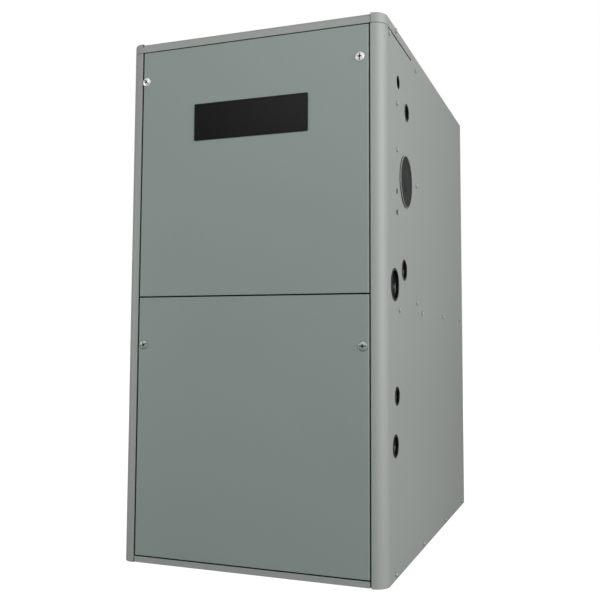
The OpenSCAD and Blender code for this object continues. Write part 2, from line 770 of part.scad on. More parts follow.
// Half of a bent tube in the YZ plane, bulging back
module half_ring(bend_r, r) rotate([0, -90, 0]) rotate_extrude(angle = 180)
    translate([bend_r, 0]) circle(r);

// Serpentine path: back, forward and back again into the transition box
module tube_solid(x, r, run_out) {
    bar_y(r, x, [vest_y - 1.5 - run_out, hx_rear], gas_z);
    bar_y(r, x, [hx_fore, hx_rear], gas_z - hx_pitch);
    bar_y(r, x, [hx_fore, trans_y0 + 3 + run_out], hx_low_z);
    translate([x, hx_rear, gas_z - hx_pitch / 2]) half_ring(hx_pitch / 2, r);
    translate([x, hx_fore, hx_low_z + hx_pitch / 2]) mirror([0, 1, 0]) half_ring(hx_pitch / 2, r);
}

module heat_tubes() color([0.66, 0.66, 0.66]) for (x = burner_x) difference() {
    tube_solid(x, hx_r, 0);
    tube_solid(x, hx_r - hx_wall, 1);
}

// Folded pan behind a tube sheet, which lie fit_gap apart
module transition_box() color([0.66, 0.66, 0.66]) {
    difference() {
        block([-coil_hw - 8, coil_hw + 8], [trans_y0 + sheet + fit_gap, trans_y1],
            [deck_z, hx_low_z + hx_r + 8]);
        block([-coil_hw - 8 + sheet, coil_hw + 8 - sheet], [trans_y0, trans_y1 - sheet],
            [deck_z + sheet, hx_low_z + hx_r + 8 - sheet]);
    }
    difference() {
        block([-coil_hw - 8, coil_hw + 8], [trans_y0, trans_y0 + sheet],
            [deck_z, hx_low_z + hx_r + 8]);
        for (x = burner_x) bar_y(hx_r + 0.3, x, [trans_y0 - 1, trans_y0 + 2], hx_low_z);
        coil_bores(coil_tube_r + 0.2, trans_y0 - 1, trans_y0 + 2);
    }
}

module coil_bores(r, y0, y1) for (x = coil_x) for (z = coil_tube_z) bar_y(r, x, [y0, y1], z);

// Header plate, fins and the tubes that run through them
module secondary_coil() color([0.75, 0.76, 0.78]) {
    difference() {
        union() {
            block([-coil_hw, coil_hw], [vest_y + sheet, vest_y + sheet + 1.5],
                [coil_z0, coil_z0 + coil_h]);
            for (k = [0:coil_fins - 1]) block([-coil_hw, coil_hw],
                [coil_y0 + k * coil_fin_pitch, coil_y0 + k * coil_fin_pitch + 0.6],
                [coil_z0, coil_z0 + coil_h]);
        }
        coil_bores(coil_tube_r + fit_gap, vest_y, trans_y0 + 4);
    }
    difference() {
        coil_bores(coil_tube_r, vest_y + sheet, trans_y0 + 3);
        coil_bores(coil_tube_r - 1, vest_y, trans_y0 + 4);
    }
}

module coil_supports() both_sides() {
    block([coil_hw - 20, coil_hw - 20 + sheet], [coil_y0, trans_y0 - 4], [deck_z, coil_z0]);
    block([coil_hw - 20, coil_hw - 4], [coil_y0, trans_y0 - 4], [coil_z0 - sheet, coil_z0]);
    block([coil_hw - 20, coil_hw - 4], [coil_y0, trans_y0 - 4], [deck_z, deck_z + sheet]);
}

module collector_box() color(black_plastic) difference() {
    union() {
        block([-coil_hw, coil_hw], [collector_y, vest_y], [coil_z0, collector_z1]);
        bar_y(9, collector_port_x, [collector_y - 12, collector_y + 1], collector_port_z);
        bar_y(3, pressure_tap_x, [collector_y - 10, collector_y + 1], pressure_tap_z);
    }
    block([-coil_hw + 3, coil_hw - 3], [collector_y + 3, vest_y + 1], [coil_z0 + 3, collector_z1 - 3]);
    bar_y(inducer_eye_r, inducer_x, [collector_y - 1, collector_y + 4], inducer_z);
    bar_y(7, collector_port_x, [collector_y - 13, collector_y + 4], collector_port_z);
    bar_y(1.5, pressure_tap_x, [collector_y - 11, collector_y + 4], pressure_tap_z);
}

// ---------- burners and gas train ----------

module burners() color([0.72, 0.72, 0.70]) for (x = burner_x) {
    translate([x, burner_y0, gas_z]) rotate([-90, 0, 0]) rotate_extrude()
        polygon([[12, 0], [9, 16], [9, 30], [burner_r, 56], [burner_r, burner_len],
            [burner_r - 1, burner_len], [burner_r - 1, 56], [8, 30], [8, 16], [11, 0]]);
    block([x - 6, x + 6], [burner_y0 + 60, burner_y0 + 61.5],
        [burner_box_z0 + sheet, gas_z - burner_r + 0.6]);
}

module burner_box() color(galvanised) difference() {
    block([-box_hw, box_hw], [burner_y0 - 4, vest_y], [burner_box_z0, burner_box_z1]);
    block([-box_hw + sheet, box_hw - sheet], [burner_y0 - 5, vest_y + 1],
        [burner_box_z0 + sheet, burner_box_z1 - sheet]);
    for (x = [burner_x[0], burner_x[3]]) bar_z(6.5, x, pilot_y, [burner_box_z1 - 2, burner_box_z1 + 1]);
}

module manifold() color([0.30, 0.31, 0.32]) difference() {
    union() {
        bar_x(manifold_r, [valve_x1 + 8, burner_x[3] + 16], manifold_y, gas_z);
        bar_x(manifold_r + 2.5, [burner_x[3] + 16, burner_x[3] + 24], manifold_y, gas_z);
        // brackets that carry the pipe on the burner box
        for (x = [burner_x[0] + burner_pitch / 2, burner_x[3] - burner_pitch / 2])
            block([x - 7, x + 7], [manifold_y, burner_y0 - 4], [gas_z + 7, gas_z + 9]);
        for (x = [burner_x[0] + burner_pitch / 2, burner_x[3] - burner_pitch / 2])
            block([x - 7, x + 7], [burner_y0 - 6, burner_y0 - 4], [gas_z + 7, burner_box_z1]);
        for (x = burner_x) bar_y(6, x, [manifold_y, manifold_y + manifold_r + 3], gas_z);
    }
    bar_x(manifold_r - 2.5, [valve_x1 + 7, burner_x[3] + 18], manifold_y, gas_z);
    for (x = burner_x) bar_y(3, x, [manifold_y, manifold_y + manifold_r + 4], gas_z);
}

// Brass spuds that meter the gas into each burner
module gas_orifices() color([0.80, 0.66, 0.32]) for (x = burner_x) difference() {
    y = manifold_y + manifold_r + 3;
    union() {
        translate([x, y, gas_z]) rotate([-90, 0, 0]) cylinder(d = 13, h = 5, $fn = 6);
        bar_y(4.5, x, [y + 4, burner_y0 + 3], gas_z);
    }
    bar_y(1, x, [y - 1, burner_y0 + 4], gas_z);
}

module gas_valve() color([0.70, 0.71, 0.72]) difference() {
    union() {
        block([valve_x0, valve_x1], [valve_y0, valve_y1], [gas_z - 26, gas_z + 26]);
        bar_x(16, [valve_x0 - inlet_len, valve_x0 + 1], gas_y, gas_z);
        bar_x(15, [valve_x1 - 1, valve_x1 + 8], manifold_y, gas_z);
        bar_z(13, valve_x0 + 24, gas_y - 8, [gas_z + 25, gas_z + 44]);
        block([valve_x0 + 42, valve_x1 - 6], [valve_y0 + 14, valve_y1 - 12], [gas_z + 25, gas_z + 40]);
        bar_y(15, knob_x, [valve_y0 - 4, valve_y0 + 1], gas_z);
    }
    bar_x(inlet_r, [valve_x0 - inlet_len - 1, valve_x0], gas_y, gas_z);
    bar_x(manifold_r - 2.5, [valve_x1 - 12, valve_x1 + 9], manifold_y, gas_z);
    bar_y(3 + shaft_play, knob_x, [valve_y0 - 5, valve_y0 + 12], gas_z);
}

module valve_knob() color([0.80, 0.12, 0.08]) difference() {
    union() {
        bar_y(12, knob_x, [valve_y0 - 16, valve_y0 - 4.4], gas_z);
        bar_y(3, knob_x, [valve_y0 - 10, valve_y0 + 11], gas_z);
        block([knob_x - 3, knob_x + 3], [valve_y0 - 22, valve_y0 - 10], [gas_z - 11, gas_z + 11]);
    }
    block([knob_x - 0.6, knob_x + 0.6], [valve_y0 - 23, valve_y0 - 21], [gas_z + 2, gas_z + 12]);
}

module burner_probes() color([0.92, 0.91, 0.88]) {
    igniter();
    flame_sensor();
}

module igniter() {
    bar_z(6, burner_x[3], pilot_y, [gas_z + 22, burner_box_z1 + 20]);
    block([burner_x[3] - 14, burner_x[3] + 14], [pilot_y - 7, pilot_y + 7],
        [burner_box_z1, burner_box_z1 + 2]);
    for (s = [-1, 1]) bar_z(1.4, burner_x[3] + s * 3, pilot_y, [gas_z + 2, gas_z + 23]);
}

module flame_sensor() {
    bar_z(5, burner_x[0], pilot_y, [gas_z + 20, burner_box_z1 + 16]);
    block([burner_x[0] - 14, burner_x[0] + 14], [pilot_y - 7, pilot_y + 7],
        [burner_box_z1, burner_box_z1 + 2]);
    bar_z(1.5, burner_x[0], pilot_y, [gas_z - 6, gas_z + 21]);
}

module limit_switches() color(black_plastic) {
    rollout_switches();
    limit_switch();
}

module rollout_switches() for (x = rollout_x) difference() {
    union() {
        block([x - 16, x + 16], [rollout_y - 8, rollout_y + 8], [burner_box_z1, burner_box_z1 + 1.5]);
        bar_z(9, x, rollout_y, [burner_box_z1 + 1, burner_box_z1 + 10]);
    }
    bar_z(2.5 + shaft_play, x, rollout_y, [burner_box_z1 + 3, burner_box_z1 + 11]);
}

module reset_button(x) color([0.80, 0.12, 0.08])
    bar_z(2.5, x, rollout_y, [burner_box_z1 + 5.5, burner_box_z1 + 14]);

module left_reset_button() reset_button(rollout_x[0]);

module right_reset_button() reset_button(rollout_x[1]);

module limit_switch() {
    block([limit_x - 20, limit_x + 20], [vest_y - 1.5, vest_y], [limit_z - 10, limit_z + 10]);
    bar_y(9, limit_x, [vest_y - 14, vest_y - 1], limit_z);
    for (s = [-1, 1]) block([limit_x + s * 5 - 0.4, limit_x + s * 5 + 0.4],
        [vest_y - 23, vest_y - 13], [limit_z - 3, limit_z + 3]);
}

module pressure_switch() color([0.16, 0.17, 0.18]) {
    bar_y(31, press_x, [vest_y - 30, vest_y - 18], press_z);
    bar_y(16, press_x, [vest_y - 42, vest_y - 29], press_z);
    block([press_x - 34, press_x + 34], [vest_y - 19, vest_y - 17.5], [press_z - 18, press_z + 18]);
    for (s = [-1, 1]) block([press_x + s * 35.5 - 1.5, press_x + s * 35.5 + 1.5],
        [vest_y - 19, vest_y], [press_z - 18, press_z + 18]);
    bar_z(3, press_x + 12, vest_y - 24, [press_z - 42, press_z - 28]);
}

module hoses() color([0.10, 0.10, 0.11]) {
    vent_coupling();
    run_along([
        [press_x + 12, vest_y - 24, press_z - 42], [press_x + 12, vest_y - 24, press_z - 50],
        [press_x + 26, vest_y - 66, press_z - 58], [pressure_tap_x, collector_y - 30, pressure_tap_z + 14],
        [pressure_tap_x, collector_y - 20, pressure_tap_z],
            [pressure_tap_x, collector_y - 10, pressure_tap_z]], 4);
    run_along([
        [collector_port_x, collector_y - 12, collector_port_z],
            [collector_port_x, collector_y - 28, collector_port_z],
        [collector_port_x - 14, collector_y - 62, collector_port_z + 10],
            [trap_x0 + 34, trap_y + 24, deck_z + 86],
        [trap_x0 + 28, trap_y, deck_z + 72], [trap_x0 + 28, trap_y, deck_z + 58]], 8, 10);
}

// ---------- inducer and vent ----------

// Points of a scroll that opens from r0 to r1 over sweep degrees
function scroll(r0, r1, start, sweep, n) =
    [for (i = [0:n]) let (r = r0 + (r1 - r0) * i / n, a = start + sweep * i / n) [r * cos(a), r * sin(a)]];

// Inducer scroll seen from the doors, drawn in by t, its outlet going up
module inducer_outline(t) polygon(concat(
    scroll(inducer_r0 - t, inducer_r1 - t, 60, 300, 30),
    [[inducer_r1 - t, inducer_top - t], [inducer_r1 - duct_w + t, inducer_top - t]]));

module inducer_housing() color(black_plastic) difference() {
    union() {
        translate([inducer_x, collector_y, inducer_z]) rotate([90, 0, 0])
            linear_extrude(duct_w) inducer_outline(0);
        bar_z(vent_r, vent_x, vent_y, [inducer_z + inducer_top - 1, inducer_z + inducer_top + 20]);
    }
    translate([inducer_x, collector_y - 3, inducer_z]) rotate([90, 0, 0])
        linear_extrude(duct_w - 6) inducer_outline(3);
    bar_y(inducer_eye_r, inducer_x, [collector_y - 4, collector_y + 1], inducer_z);
    bar_y(12, inducer_x, [collector_y - duct_w - 1, collector_y - duct_w + 4], inducer_z);
    bar_z(vent_r - vent_wall, vent_x, vent_y, [inducer_z + inducer_top - 5, inducer_z + inducer_top + 21]);
}

module inducer_wheel() color([0.70, 0.71, 0.72]) difference() {
    union() {
        bar_y(inducer_wheel_r, inducer_x, [fan_y0, fan_y0 + 1.5], inducer_z);
        bar_y(9, inducer_x, [fan_y0, fan_y0 + 14], inducer_z);
        for (k = [0:15]) translate([inducer_x, fan_y0 + 1, inducer_z]) rotate([0, k * 22.5, 0])
            translate([inducer_wheel_r - 20, 0, -0.6]) rotate([0, -25, 0]) cube([19, 24, 1.2]);
    }
    bar_y(fan_shaft_r, inducer_x, [fan_y0 - 1, fan_y0 + 15], inducer_z);
}

module inducer_shaft() color(zinc) bar_y(fan_shaft_r, inducer_x,
    [fan_motor_y0 - 12, fan_y0 + 14], inducer_z);

module inducer_motor() color([0.25, 0.26, 0.27]) difference() {
    union() {
        bar_y(38, inducer_x, [fan_motor_y0 + 8, fan_motor_y1], inducer_z);
        bar_y(14, inducer_x, [fan_motor_y0, fan_motor_y1 + 6], inducer_z);
        block([inducer_x - 30, inducer_x + 30], [fan_motor_y0 + 14, fan_motor_y1 - 8],
            [inducer_z - 44, inducer_z + 44]);
        for (a = [30, 150, 270]) bar_y(4, inducer_x + 32 * cos(a),
            [fan_motor_y1 - 1, collector_y - duct_w], inducer_z + 32 * sin(a));
    }
    bar_y(fan_shaft_r + shaft_play, inducer_x, [fan_motor_y0 - 1, fan_motor_y1 + 7], inducer_z);
}

module cooling_fan() color(black_plastic) difference() {
    union() {
        bar_y(10, inducer_x, [fan_motor_y0 - 11, fan_motor_y0 - 1], inducer_z);
        for (k = [0:5]) translate([inducer_x, fan_motor_y0 - 6, inducer_z]) rotate([0, k * 60,
            0]) rotate([28, 0, 0])
            translate([8, -0.8, -8]) cube([26, 1.6, 16]);
    }
    bar_y(fan_shaft_r, inducer_x, [fan_motor_y0 - 12, fan_motor_y0], inducer_z);
}

module vent_coupling() difference() {
    bar_z(vent_r + 4, vent_x, vent_y, [coupling_z0, coupling_z0 + 44]);
    bar_z(vent_r + 0.1, vent_x, vent_y, [coupling_z0 - 1, coupling_z0 + 45]);
}

module hose_clamps() color(zinc) for (z = [coupling_z0 + 4, coupling_z0 + 30]) {
    difference() {
        bar_z(vent_r + 5, vent_x, vent_y, [z, z + 10]);
        bar_z(vent_r + 4, vent_x, vent_y, [z - 1, z + 11]);
    }
    block([vent_x - 8, vent_x + 8], [vent_y - vent_r - 12, vent_y - vent_r - 4.7], [z, z + 9]);
}

module vent_pipe() color([0.90, 0.90, 0.88]) difference() {
    bar_z(vent_r, vent_x, vent_y, [inducer_z + inducer_top + 22, vent_top]);
    bar_z(vent_r - vent_wall, vent_x, vent_y, [inducer_z + inducer_top + 21, vent_top + 1]);
}

// Collar in the cap: a socket above and a socket below a stop ridge
module cap_collar(x) difference() {
    union() {
        bar_z(vent_r + collar_play + 4.7, x, vent_y, [vent_top - 14, cab_h + 2]);
        bar_z(vent_r + 15, x, vent_y, [cab_h, cab_h + 2]);
    }
    bar_z(vent_r + collar_play, x, vent_y, [cab_h + 2 - collar_len, cab_h + 3]);
    bar_z(vent_r - vent_wall, x, vent_y, [vent_top - 15, cab_h]);
    bar_z(vent_r + collar_play, x, vent_y, [vent_top - 15, vent_top + 0.3]);
}

module cap_collars() color(black_plastic) {
    cap_collar(vent_x);
    cap_collar(-vent_x);
}

// ---------- condensate ----------

module condensate_trap() color(black_plastic) difference() {
    union() {
        block([trap_x0, trap_x0 + 46], [trap_y - 20, trap_y + 20], [deck_z, deck_z + 50]);
        bar_z(8, trap_x0 + 28, trap_y, [deck_z + 49, deck_z + 58]);
        bar_x(drain_stub_r, [trap_x0 - 20, trap_x0 + 1], trap_y, drain_spot[1]);
    }
    bar_z(6, trap_x0 + 28, trap_y, [deck_z + 6, deck_z + 59]);
    bar_x(drain_stub_r - 3, [trap_x0 - 21, trap_x0 + 24], trap_y, drain_spot[1]);
}

// ---------- blower ----------

// Blower scroll seen from the left side, drawn in by t; its outlet goes up to the deck
module blower_outline(t) polygon(concat(
    scroll(scroll_r0 - t, scroll_r1 - t, 110, -290, 40),
    [[-scroll_r1 + t, deck_rise], [-scroll_r0 * cos(70) - t, deck_rise]],
    t > 0 ? [[-scroll_r0 * cos(70) - t, scroll_r0 * sin(70)]] : []));

// Side plates inside the wrap, with rolled inlet rings and the flanges that slide on the rails
module blower_sides() color(galvanised) both_sides() {
    translate([outlet_hw - sheet, blower_y, blower_z]) rotate([90, 0, 90]) {
        linear_extrude(sheet) difference() {
            blower_outline(sheet);
            circle(inlet_ring_r);
        }
        linear_extrude(inlet_lip) difference() {
            circle(inlet_ring_r + 2);
            circle(inlet_ring_r);
        }
    }
    block([outlet_hw - sheet / 2, outlet_hw + 14], [outlet_y0 + sheet, outlet_y1 - sheet],
        [rail_z, rail_z + sheet]);
}

module blower_wrap() color(galvanised) translate([-outlet_hw, blower_y, blower_z]) rotate([90, 0, 90])
    linear_extrude(2 * outlet_hw) difference() {
    blower_outline(0);
    blower_outline(sheet);
    translate([-scroll_r1 + sheet, deck_rise - 2]) square([outlet_w - 2 * sheet, 3]);
}

module blower_rails() both_sides() {
    block([outlet_hw + 16, outlet_hw + 16 + sheet], [outlet_y0 - 30, outlet_y1 + 10],
        [rail_z - sheet, under]);
    block([outlet_hw + 8, outlet_hw + 17], [outlet_y0 - 30, outlet_y1 + 10], [rail_z - sheet, rail_z]);
    block([outlet_hw + 16, outlet_hw + 28], [outlet_y0 - 30, outlet_y1 + 10], [under - sheet, under]);
}

// Two end rings, a hub plate and the blades, each fit_gap from the next
module blower_wheel() color(galvanised) {
    for (x = [-wheel_w / 2, wheel_w / 2 - end_ring_t])
        translate([x, blower_y, blower_z]) rotate([0, 90, 0]) difference() {
        cylinder(r = wheel_r, h = end_ring_t);
        translate([0, 0, -1]) cylinder(r = inlet_ring_r, h = end_ring_t + 2);
    }
    wheel_hub();
    for (k = [0:wheel_blades - 1]) wheel_blade(k * 360 / wheel_blades);
}

module wheel_hub() difference() {
    union() {
        bar_x(blade_r - sheet - fit_gap, [hub_x - 1.5, hub_x], blower_y, blower_z);
        bar_x(hub_r, [hub_x - 1, hub_x + 16], blower_y, blower_z);
    }
    bar_x(shaft_r, [hub_x - 3, hub_x + 17], blower_y, blower_z);
}

module wheel_blade(turn) translate([-wheel_w / 2 + end_ring_t + fit_gap, blower_y, blower_z])
    rotate([turn, 0, 0]) translate([0, blade_r, 0]) rotate([blade_tilt, 0, 0])
    cube([wheel_w - 2 * (end_ring_t + fit_gap), wheel_r - blade_r, sheet]);

module blower_shaft() color(zinc) bar_x(shaft_r, [hub_x - 4, motor_x0 + 40], blower_y, blower_z);

module blower_motor() color([0.20, 0.21, 0.22]) difference() {
    union() {
        bar_x(motor_r, [motor_x0 + 8, motor_x0 + motor_len - 8], blower_y, blower_z);
        bar_x(motor_r - 10, [motor_x0, motor_x0 + motor_len], blower_y, blower_z);
        bar_x(18, [motor_x0 - 6, motor_x0 + 1], blower_y, blower_z);
    }
    bar_x(shaft_r + shaft_play, [motor_x0 - 7, motor_x0 + 42], blower_y, blower_z);
}

// Belly band and three arms that carry the motor in the right inlet
module motor_mount() color(zinc) {
    difference() {
        bar_x(motor_r + 1.7, [mount_x - 9, mount_x + 9], blower_y, blower_z);
        bar_x(motor_r + 0.1, [mount_x - 10, mount_x + 10], blower_y, blower_z);
    }
    for (a = [90, 210, 330]) translate([mount_x, blower_y, blower_z]) rotate([a, 0, 0]) {
        translate([-3, motor_r + 1, -3]) cube([10, inlet_ring_r + 18 - motor_r, 2]);
        translate([outlet_hw - mount_x, inlet_ring_r + 5, -3]) cube([mount_x + 7 - outlet_hw, 14, 2]);
    }
}

// ---------- wiring and controls ----------

module junction_box() color(galvanised) {
    junction_box_shell();
    block([-inner + 50, -inner + 50 + sheet], [jbox_y0 - 1, jbox_y0 + 71], [jbox_z0 - 1, jbox_z0 + 85]);
}

module junction_box_shell() difference() {
    block([-inner, -inner + 50], [jbox_y0, jbox_y0 + 70], [jbox_z0, jbox_z0 + 84]);
    block([-inner + sheet, -inner + 51], [jbox_y0 + sheet, jbox_y0 + 70 - sheet],
        [jbox_z0 + sheet, jbox_z0 + 84 - sheet]);
    bar_z(11.1, -inner + 26, jbox_y0 + 35, [jbox_z0 - 1, jbox_z0 + 2]);
    bar_y(10, -inner + 26, [jbox_y0 + 68, jbox_y0 + 71], jbox_z0 + 60);
}

module control_panel() color(galvanised) {
    block(panel_x, [panel_y, panel_y + sheet], [panel_z0, under]);
    block(panel_x, [panel_y - 16, panel_y + sheet], [under - sheet, under]);
    block(panel_x, [panel_y - 12, panel_y + sheet], [panel_z0, panel_z0 + sheet]);
}

module control_board() {
    color([0.08, 0.35, 0.20]) block([board_x0, board_x0 + 150], [panel_y - 7.6, panel_y - 6],
        [panel_z0 + 40, panel_z0 + 150]);
    color("white") for (x = [board_x0 + 6, board_x0 + 144])
        for (z = [panel_z0 + 46, panel_z0 + 144]) bar_y(3, x, [panel_y - 6.1, panel_y], z);
    color([0.10, 0.10, 0.12]) {
        for (k = [0:2]) block([board_x0 + 8 + k * 34, board_x0 + 34 + k * 34],
            [panel_y - 27, panel_y - 7], [panel_z0 + 104, panel_z0 + 128]);
        block([board_x0 + 112, board_x0 + 136], [panel_y - 20, panel_y - 7],
            [panel_z0 + 60, panel_z0 + 132]);
        block([board_x0 + 18, board_x0 + 82], [panel_y - 15, panel_y - 7], [panel_z0 + 46, panel_z0 + 58]);
        block([board_x0 + 32, board_x0 + 72], [panel_y - 18, panel_y - 7], [panel_z0 + 72, panel_z0 + 90]);
        for (k = [0:6]) block([board_x0 + 7 + k * 13, board_x0 + 15 + k * 13],
            [panel_y - 17, panel_y - 7], [panel_z0 + 136, panel_z0 + 146]);
    }
}

module transformer() color([0.24, 0.25, 0.27]) {
    block([power_x - 30, power_x + 30], [panel_y - 3, panel_y], [panel_z0 + 90, panel_z0 + 148]);
    block([power_x - 24, power_x + 24], [panel_y - 40, panel_y - 2], [panel_z0 + 90, panel_z0 + 148]);
    block([power_x - 18, power_x + 18], [panel_y - 48, panel_y - 2], [panel_z0 + 100, panel_z0 + 138]);
}

module run_capacitor() color(galvanised) {
    translate([power_x, panel_y - capacitor_r - 1, capacitor_z0]) linear_extrude(capacitor_h) {
        square([20, 2 * capacitor_r], center = true);
        for (s = [-1, 1]) translate([s * 10, 0]) circle(capacitor_r);
    }
    for (s = [-1, 1]) block([power_x + s * 9 - 3, power_x + s * 9 + 3],
        [panel_y - capacitor_r - 1.4, panel_y - capacitor_r - 0.6],
        [capacitor_z0 + capacitor_h - 1, capacitor_z0 + capacitor_h + 8]);
}

module door_switch() color(black_plastic) difference() {
    block([striker_x - 10, striker_x + 10], [front + 32 + sheet, front + 66],
        [striker_z - 9, striker_z + 9]);
    bar_y(4 + shaft_play, striker_x, [front + 32, front + 60], striker_z);
}

module door_switch_button() color("white") bar_y(4, striker_x, [front + 28.3, front + 54], striker_z);

module wire_grommets() for (p = [grommet_spot, lead_spot]) translate([p[0], p[1], 0]) difference() {
    union() {
        translate([0, 0, deck_z]) cylinder(r = grommet_r + 3, h = 2);
        translate([0, 0, under - 2]) cylinder(r = grommet_r + 3, h = 2);
        translate([0, 0, under - 1]) cylinder(r = grommet_r - 0.1, h = 3);
    }
    translate([0, 0, under - 3]) cylinder(r = harness_r + 0.3, h = 7);
}

module wiring() color([0.13, 0.13, 0.14]) {
    wire_grommets();
    main_harness();
    inducer_lead();
    blower_lead();
}

module main_harness() run_along([
    [board_x0 + 50, panel_y - 15.3, panel_z0 + 52], [board_x0 + 50, panel_y - 30, panel_z0 + 52],
        [-104, panel_y - 62, panel_z0 + 96],
    [grommet_spot[0], grommet_spot[1], under - 22], [grommet_spot[0], grommet_spot[1], under],
    [grommet_spot[0], grommet_spot[1], deck_z + 20],
        [grommet_spot[0] - 10, grommet_spot[1] - 8, deck_z + 110],
    [grommet_spot[0] - 18, grommet_spot[1] - 16, gas_z - 120], [valve_x1 - 30, manifold_y - 4, gas_z - 62],
    [valve_x1 - 34, manifold_y + 14, gas_z - 42], [valve_x1 - 34, manifold_y + 14, gas_z - 26]], harness_r);

module inducer_lead() run_along([
    [board_x0 + 52, panel_y - 18.3, panel_z0 + 81], [board_x0 + 52, panel_y - 34, panel_z0 + 81],
        [lead_spot[0], lead_spot[1], under - 30],
    [lead_spot[0], lead_spot[1], under], [lead_spot[0], lead_spot[1], deck_z + 14],
    [lead_spot[0] + 30, lead_spot[1] - 12, deck_z + 50],
        [inducer_x - 62, fan_motor_y1 - 30, inducer_z - 14],
    [inducer_x - 48, fan_motor_y1 - 28, inducer_z], [inducer_x - 38, fan_motor_y1 - 28, inducer_z]], 4);

module blower_lead() run_along([
    [motor_x0 + motor_len + 0.3, blower_y - 34, blower_z],
        [motor_x0 + motor_len + 12, blower_y - 34, blower_z],
    [motor_x0 + motor_len + 22, blower_y - 90, blower_z - 4],
        [motor_x0 + motor_len + 10, blower_y - 160, blower_z - 6],
    [130, panel_y + 40, panel_z0 - 16], [110, panel_y - 2, panel_z0 - 24],
    [power_x, panel_y - capacitor_r - 1, capacitor_z0 - 16],
        [power_x, panel_y - capacitor_r - 1, capacitor_z0 - 0.3]], 4);

side_panels();
back_panel();
top_cap();
front_rails();
vestibule_panel();
blower_deck();
bottom_pan();
frame_brackets();
insulation_liners();
upper_door();
lower_door();
upper_door_insulation();
lower_door_insulation();
badge_plate();
upper_screw_left();
upper_screw_right();
lower_screw_left();
lower_screw_right();
cabinet_screws();
hole_plugs();
vent_hole_caps();
heat_tubes();
transition_box();
secondary_coil();
collector_box();
burners();
burner_box();
manifold();
gas_orifices();
gas_valve();
valve_knob();
burner_probes();
limit_switches();
left_reset_button();
right_reset_button();
pressure_switch();
hoses();
inducer_housing();
inducer_wheel();
inducer_shaft();
inducer_motor();
cooling_fan();
hose_clamps();
vent_pipe();
cap_collars();
condensate_trap();
blower_sides();
blower_wrap();
blower_wheel();
blower_shaft();
blower_motor();
motor_mount();
junction_box();
control_panel();
control_board();
transformer();
run_capacitor();
door_switch();
door_switch_button();
wiring();
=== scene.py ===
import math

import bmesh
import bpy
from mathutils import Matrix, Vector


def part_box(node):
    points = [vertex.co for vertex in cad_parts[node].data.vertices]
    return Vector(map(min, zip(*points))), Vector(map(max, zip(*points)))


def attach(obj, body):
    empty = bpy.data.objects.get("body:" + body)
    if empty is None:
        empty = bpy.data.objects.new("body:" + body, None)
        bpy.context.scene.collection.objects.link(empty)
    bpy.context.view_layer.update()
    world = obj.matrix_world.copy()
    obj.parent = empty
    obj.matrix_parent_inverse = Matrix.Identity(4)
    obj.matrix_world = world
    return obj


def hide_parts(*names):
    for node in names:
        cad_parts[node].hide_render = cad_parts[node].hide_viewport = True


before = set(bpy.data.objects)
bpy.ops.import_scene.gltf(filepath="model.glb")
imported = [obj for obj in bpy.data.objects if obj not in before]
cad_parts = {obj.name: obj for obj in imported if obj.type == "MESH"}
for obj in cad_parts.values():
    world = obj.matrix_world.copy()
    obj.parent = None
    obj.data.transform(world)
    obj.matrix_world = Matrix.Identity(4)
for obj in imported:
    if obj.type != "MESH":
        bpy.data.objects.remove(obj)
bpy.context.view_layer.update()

# %% [markdown]
# # A forced air gas furnace, finished in Blender
# The furnace comes in as a fixed frame: every sheet, tube and screw already has its real size and
# place, in metres, with +Z up and the doors facing -Y. This lesson gives each piece its finish, and
# models again the pieces whose plain solids leave out detail: padding, hoses, fins, plugs and screws.

MM = 0.001

# %% [markdown]
# ## Camera
# The picture was taken from low down, to the right of the doors and about 1.6 m away. Its optical axis
# isn't in its middle, as in a crop of a larger picture, so the lens is shifted to match. The camera
# comes first, because a place or a width in the picture can be judged only through it.

# %% Camera
CAMERA_AT = (0.5233, -1.5465, 0.3589)
CAMERA_YAW = math.radians(20.716)
CAMERA_PITCH = math.radians(4.485)
CAMERA_ROLL = math.radians(0.292)
FOCAL_PIXELS = 823.0
AXIS_PIXEL = (291.4, 276.8)
PICTURE_PIXELS = 600
SENSOR_MM = 36.0


def aim(yaw, pitch, roll):
    """Rotation of a camera that looks along +Y, then turns left, up and over."""
    level = Matrix.Rotation(math.pi / 2, 4, "X")
    raised = Matrix.Rotation(yaw, 4, "Z") @ Matrix.Rotation(pitch, 4, "X") @ level
    return raised @ Matrix.Rotation(roll, 4, "Z")


camera_data = bpy.data.cameras.new("picture_camera")
camera_data.sensor_width = SENSOR_MM
camera_data.lens = SENSOR_MM * FOCAL_PIXELS / PICTURE_PIXELS
camera_data.shift_x = 0.5 - AXIS_PIXEL[0] / PICTURE_PIXELS
camera_data.shift_y = AXIS_PIXEL[1] / PICTURE_PIXELS - 0.5
camera_data.clip_start, camera_data.clip_end = 0.05, 60
camera = bpy.data.objects.new("picture_camera", camera_data)
camera.matrix_world = Matrix.Translation(CAMERA_AT) @ aim(CAMERA_YAW, CAMERA_PITCH, CAMERA_ROLL)
bpy.context.scene.collection.objects.link(camera)
bpy.context.scene.camera = camera
bpy.context.scene.view_settings.view_transform = "Standard"
print("camera: %.1f mm lens" % camera_data.lens)

# %% [markdown]
# ## Writing a material as an expression
# A finish is a tree of nodes, and most of it is arithmetic on masks. Wiring that by hand hides the
# idea, so `Flow` wraps one socket and lets `+ - * /` add the Math nodes. `Finish.node` adds any
# other node: its type, its settings, then what goes into its sockets.

# %% Flow and Finish
def srgb(red, green, blue):
    """A colour as it is seen on a screen, 0 to 255 each, as the shader wants it."""
    shares = (red / 255, green / 255, blue / 255)
    linear = [c / 12.92 if c <= 0.04 else ((c + 0.055) / 1.055) ** 2.4 for c in shares]
    return (*linear, 1.0)


